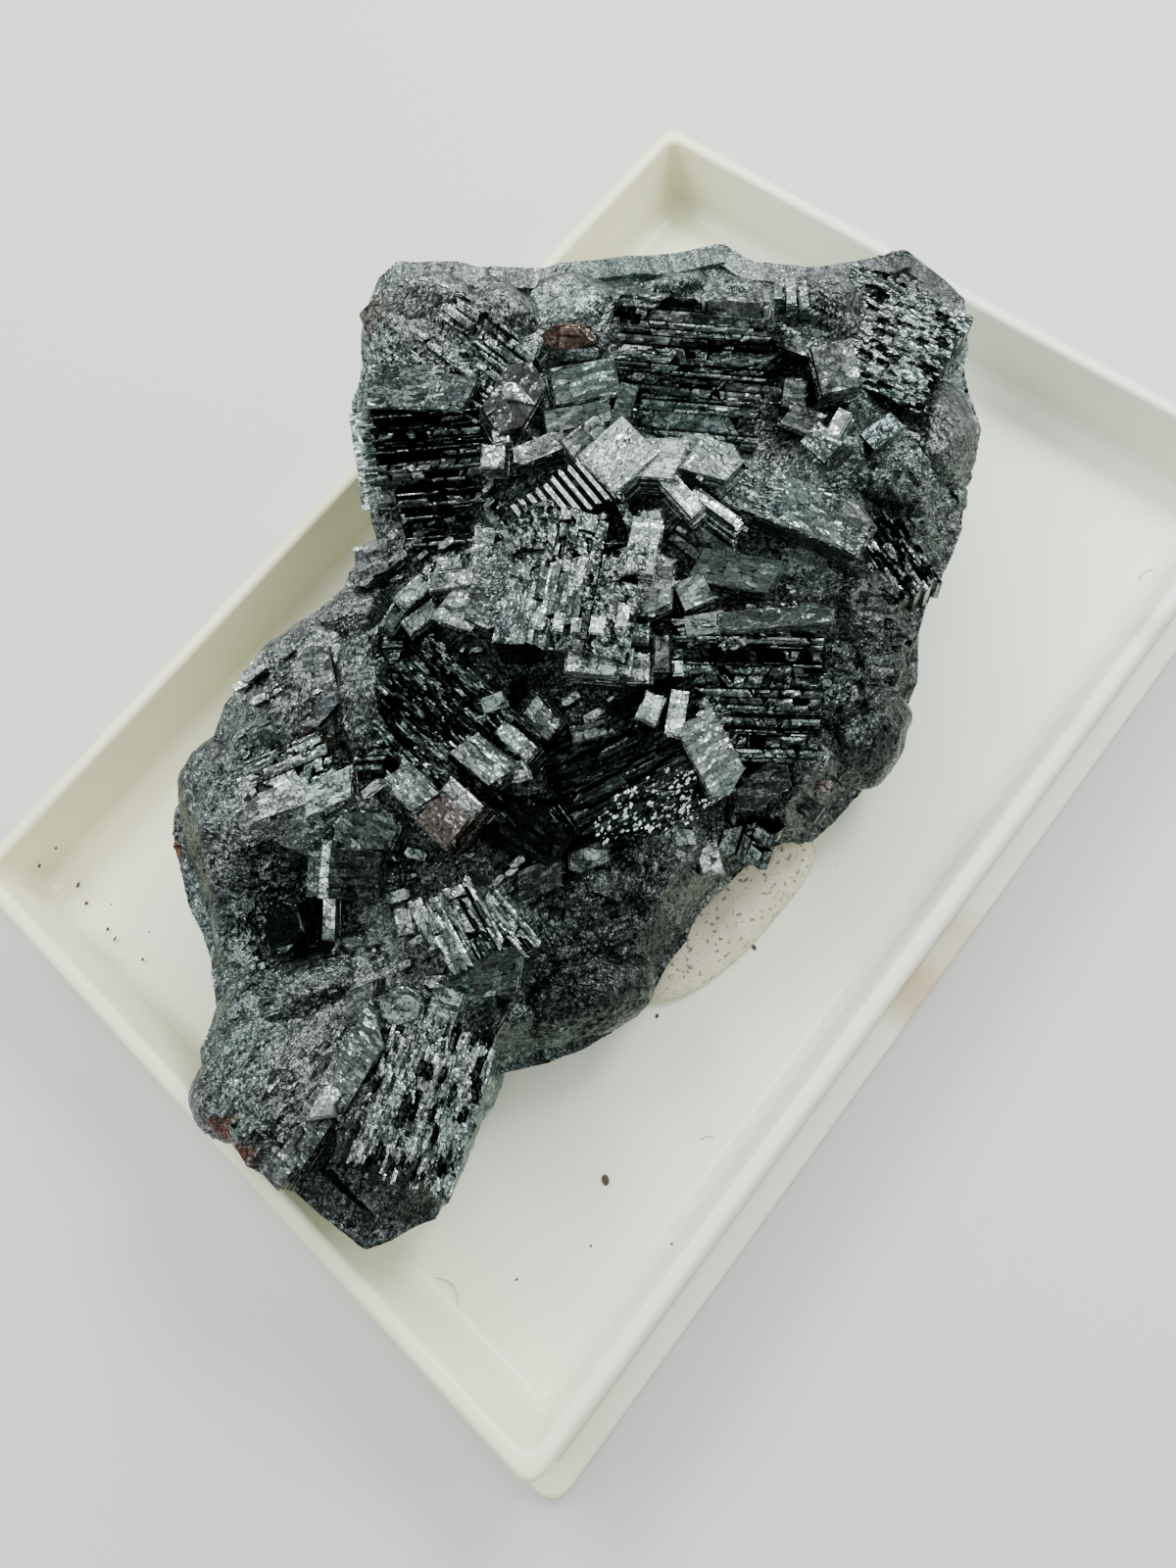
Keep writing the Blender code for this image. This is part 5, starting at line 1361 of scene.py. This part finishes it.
def makeFibres():
    # a bowed thread: ends blended, plus bow * sin(pi t) sideways, a ring round every point
    t = np.linspace(0, 1, fibreGrid["steps"])[:, None]
    turn = np.linspace(0, 2 * np.pi, fibreGrid["around"], endpoint=False)[:, None]
    parts = []
    for row in fibres:
        first, last, bow, thick = row[:3], row[3:6], row[6], row[7]
        run = (last - first) / np.linalg.norm(last - first)
        side = np.array((-run[1], run[0], 0.0))
        path = first * (1 - t) + last * t + side * bow * np.sin(np.pi * t)
        ring = np.cos(turn) * side + np.sin(turn) * np.array((0, 0, 1.0))
        parts.append(closedGrid(path[:, None] + ring[None] * thick / 2))
    points, quads, tris = joinParts(parts)
    finish = plainFinish("fibre_grey", (0.16, 0.16, 0.17), 0.8)
    makePiece("loose_fibres", rowPoints(points), quads, finish, tris, True)


makeCrumbs()
makeFibres()
print("dust made")

# Floor, light and camera

paleFloor = {"half": 1.5, "colour": (0.62, 0.62, 0.61, 1), "rough": 0.8, "below": 0.0002}
# each light: name, place in the specimen's own directions and size in mm, watts, colour
aimHigh = 20
lights = [
    ("overhead", (60, 190, 200), (170, 110), 0.50, (1, 1, 1)),
    ("key_left", (-170, 140, 300), (110, 110), 0.8, (1, 1, 1)),
    ("key_right", (170, 150, 290), (90, 90), 0.75, (0.96, 0.98, 1.0)),
    ("low_left", (-300, -20, 140), (120, 120), 0.24, (0.95, 0.98, 1.0)),
    ("low_right", (300, 20, 170), (110, 110), 0.28, (1.0, 0.99, 0.96)),
]
# brightness of the room by height, darker in front, and in soft patches
roomLight = {
    "sky": ((0.0, 0.3), (0.45, 0.62), (0.8, 1.0), (1.0, 1.1)), "front": (-0.766, -0.643, 0.0),
    "shade": ((0.15, 1.0), (0.7, 0.25)), "strength": 1.25,
    "patch": (2.3, 1.0), "patches": ((0.40, 0.22), (0.47, 0.8), (0.60, 1.9)),
}
# the lens in mm, its shifts as shares of the sensor, and where it looks from, as fitted to the rim
photoCamera = {
    "lens": 31.448, "sensor": 36.0, "shift": (0.0444, -0.1689), "near": 0.005,
    "eye": (-23.76, -36.79, 137.07),
    "right": (0.64804, -0.74280, -0.16822), "down": (-0.73004, -0.54290, -0.41509),
    "ahead": (0.21700, 0.39180, -0.89409),
}


def makeFloor():
    half = paleFloor["half"]
    mesh = bpy.data.meshes.new("pale_floor")
    corners = [(-half, -half, 0), (half, -half, 0), (half, half, 0), (-half, half, 0)]
    mesh.from_pydata(corners, [], [(0, 1, 2, 3)])
    finish = newFinish("pale_floor")
    mesh.materials.append(finish.shade({"Base Color": paleFloor["colour"], "Roughness": paleFloor["rough"]}))
    floor = bpy.data.objects.new("pale_floor", mesh)
    bpy.context.scene.collection.objects.link(floor)
    floor.location.z = -paleFloor["below"]


def softLight(name, place, size, watts, colour):
    # always aimed at the specimen
    light = bpy.data.lights.new(name, "AREA")
    light.shape = "RECTANGLE"
    light.size, light.size_y = size[0] * mm, size[1] * mm
    light.energy = watts
    light.color = colour
    lamp = bpy.data.objects.new(name, light)
    lamp.location = Vector((*turned(place[0], place[1], specimenPlace["turn"]), place[2])) * mm
    aim = Vector((0, 0, aimHigh * mm)) - lamp.location
    lamp.rotation_euler = aim.to_track_quat("-Z", "Y").to_euler()
    bpy.context.scene.collection.objects.link(lamp)


def makeWorld():
    # bright overhead, dimmer towards the horizon and dark low in front
    world = bpy.data.worlds.new("studio")
    room = Surface(world, "Generated")
    sky = room.ramp(room.parts(room.place)[2], roomLight["sky"])
    shade = room.ramp(room.vector("DOT_PRODUCT", room.place, roomLight["front"]), roomLight["shade"])
    sky = room.mix(1.0, sky, shade, "MULTIPLY")
    sky = room.mix(1.0, sky, room.ramp(room.noise(*roomLight["patch"]), roomLight["patches"]), "MULTIPLY")
    room.feed(room.nodes["Background"], {"Color": sky, "Strength": roomLight["strength"]})
    bpy.context.scene.world = world


def makeCamera():
    lens = bpy.data.cameras.new("photo_camera")
    lens.lens = photoCamera["lens"]
    lens.sensor_width = photoCamera["sensor"]
    lens.shift_x, lens.shift_y = photoCamera["shift"]
    lens.clip_start = photoCamera["near"]
    camera = bpy.data.objects.new("photo_camera", lens)
    right, down, ahead, eye = (Vector(photoCamera[name]) for name in ("right", "down", "ahead", "eye"))
    turn = Matrix((right, -down, -ahead)).transposed().to_4x4()
    camera.matrix_world = Matrix.Translation(eye * mm) @ turn
    bpy.context.scene.collection.objects.link(camera)
    bpy.context.scene.camera = camera


makeFloor()
for light in lights:
    softLight(*light)
makeWorld()
makeCamera()

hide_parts("hematite_cluster")
print("done")
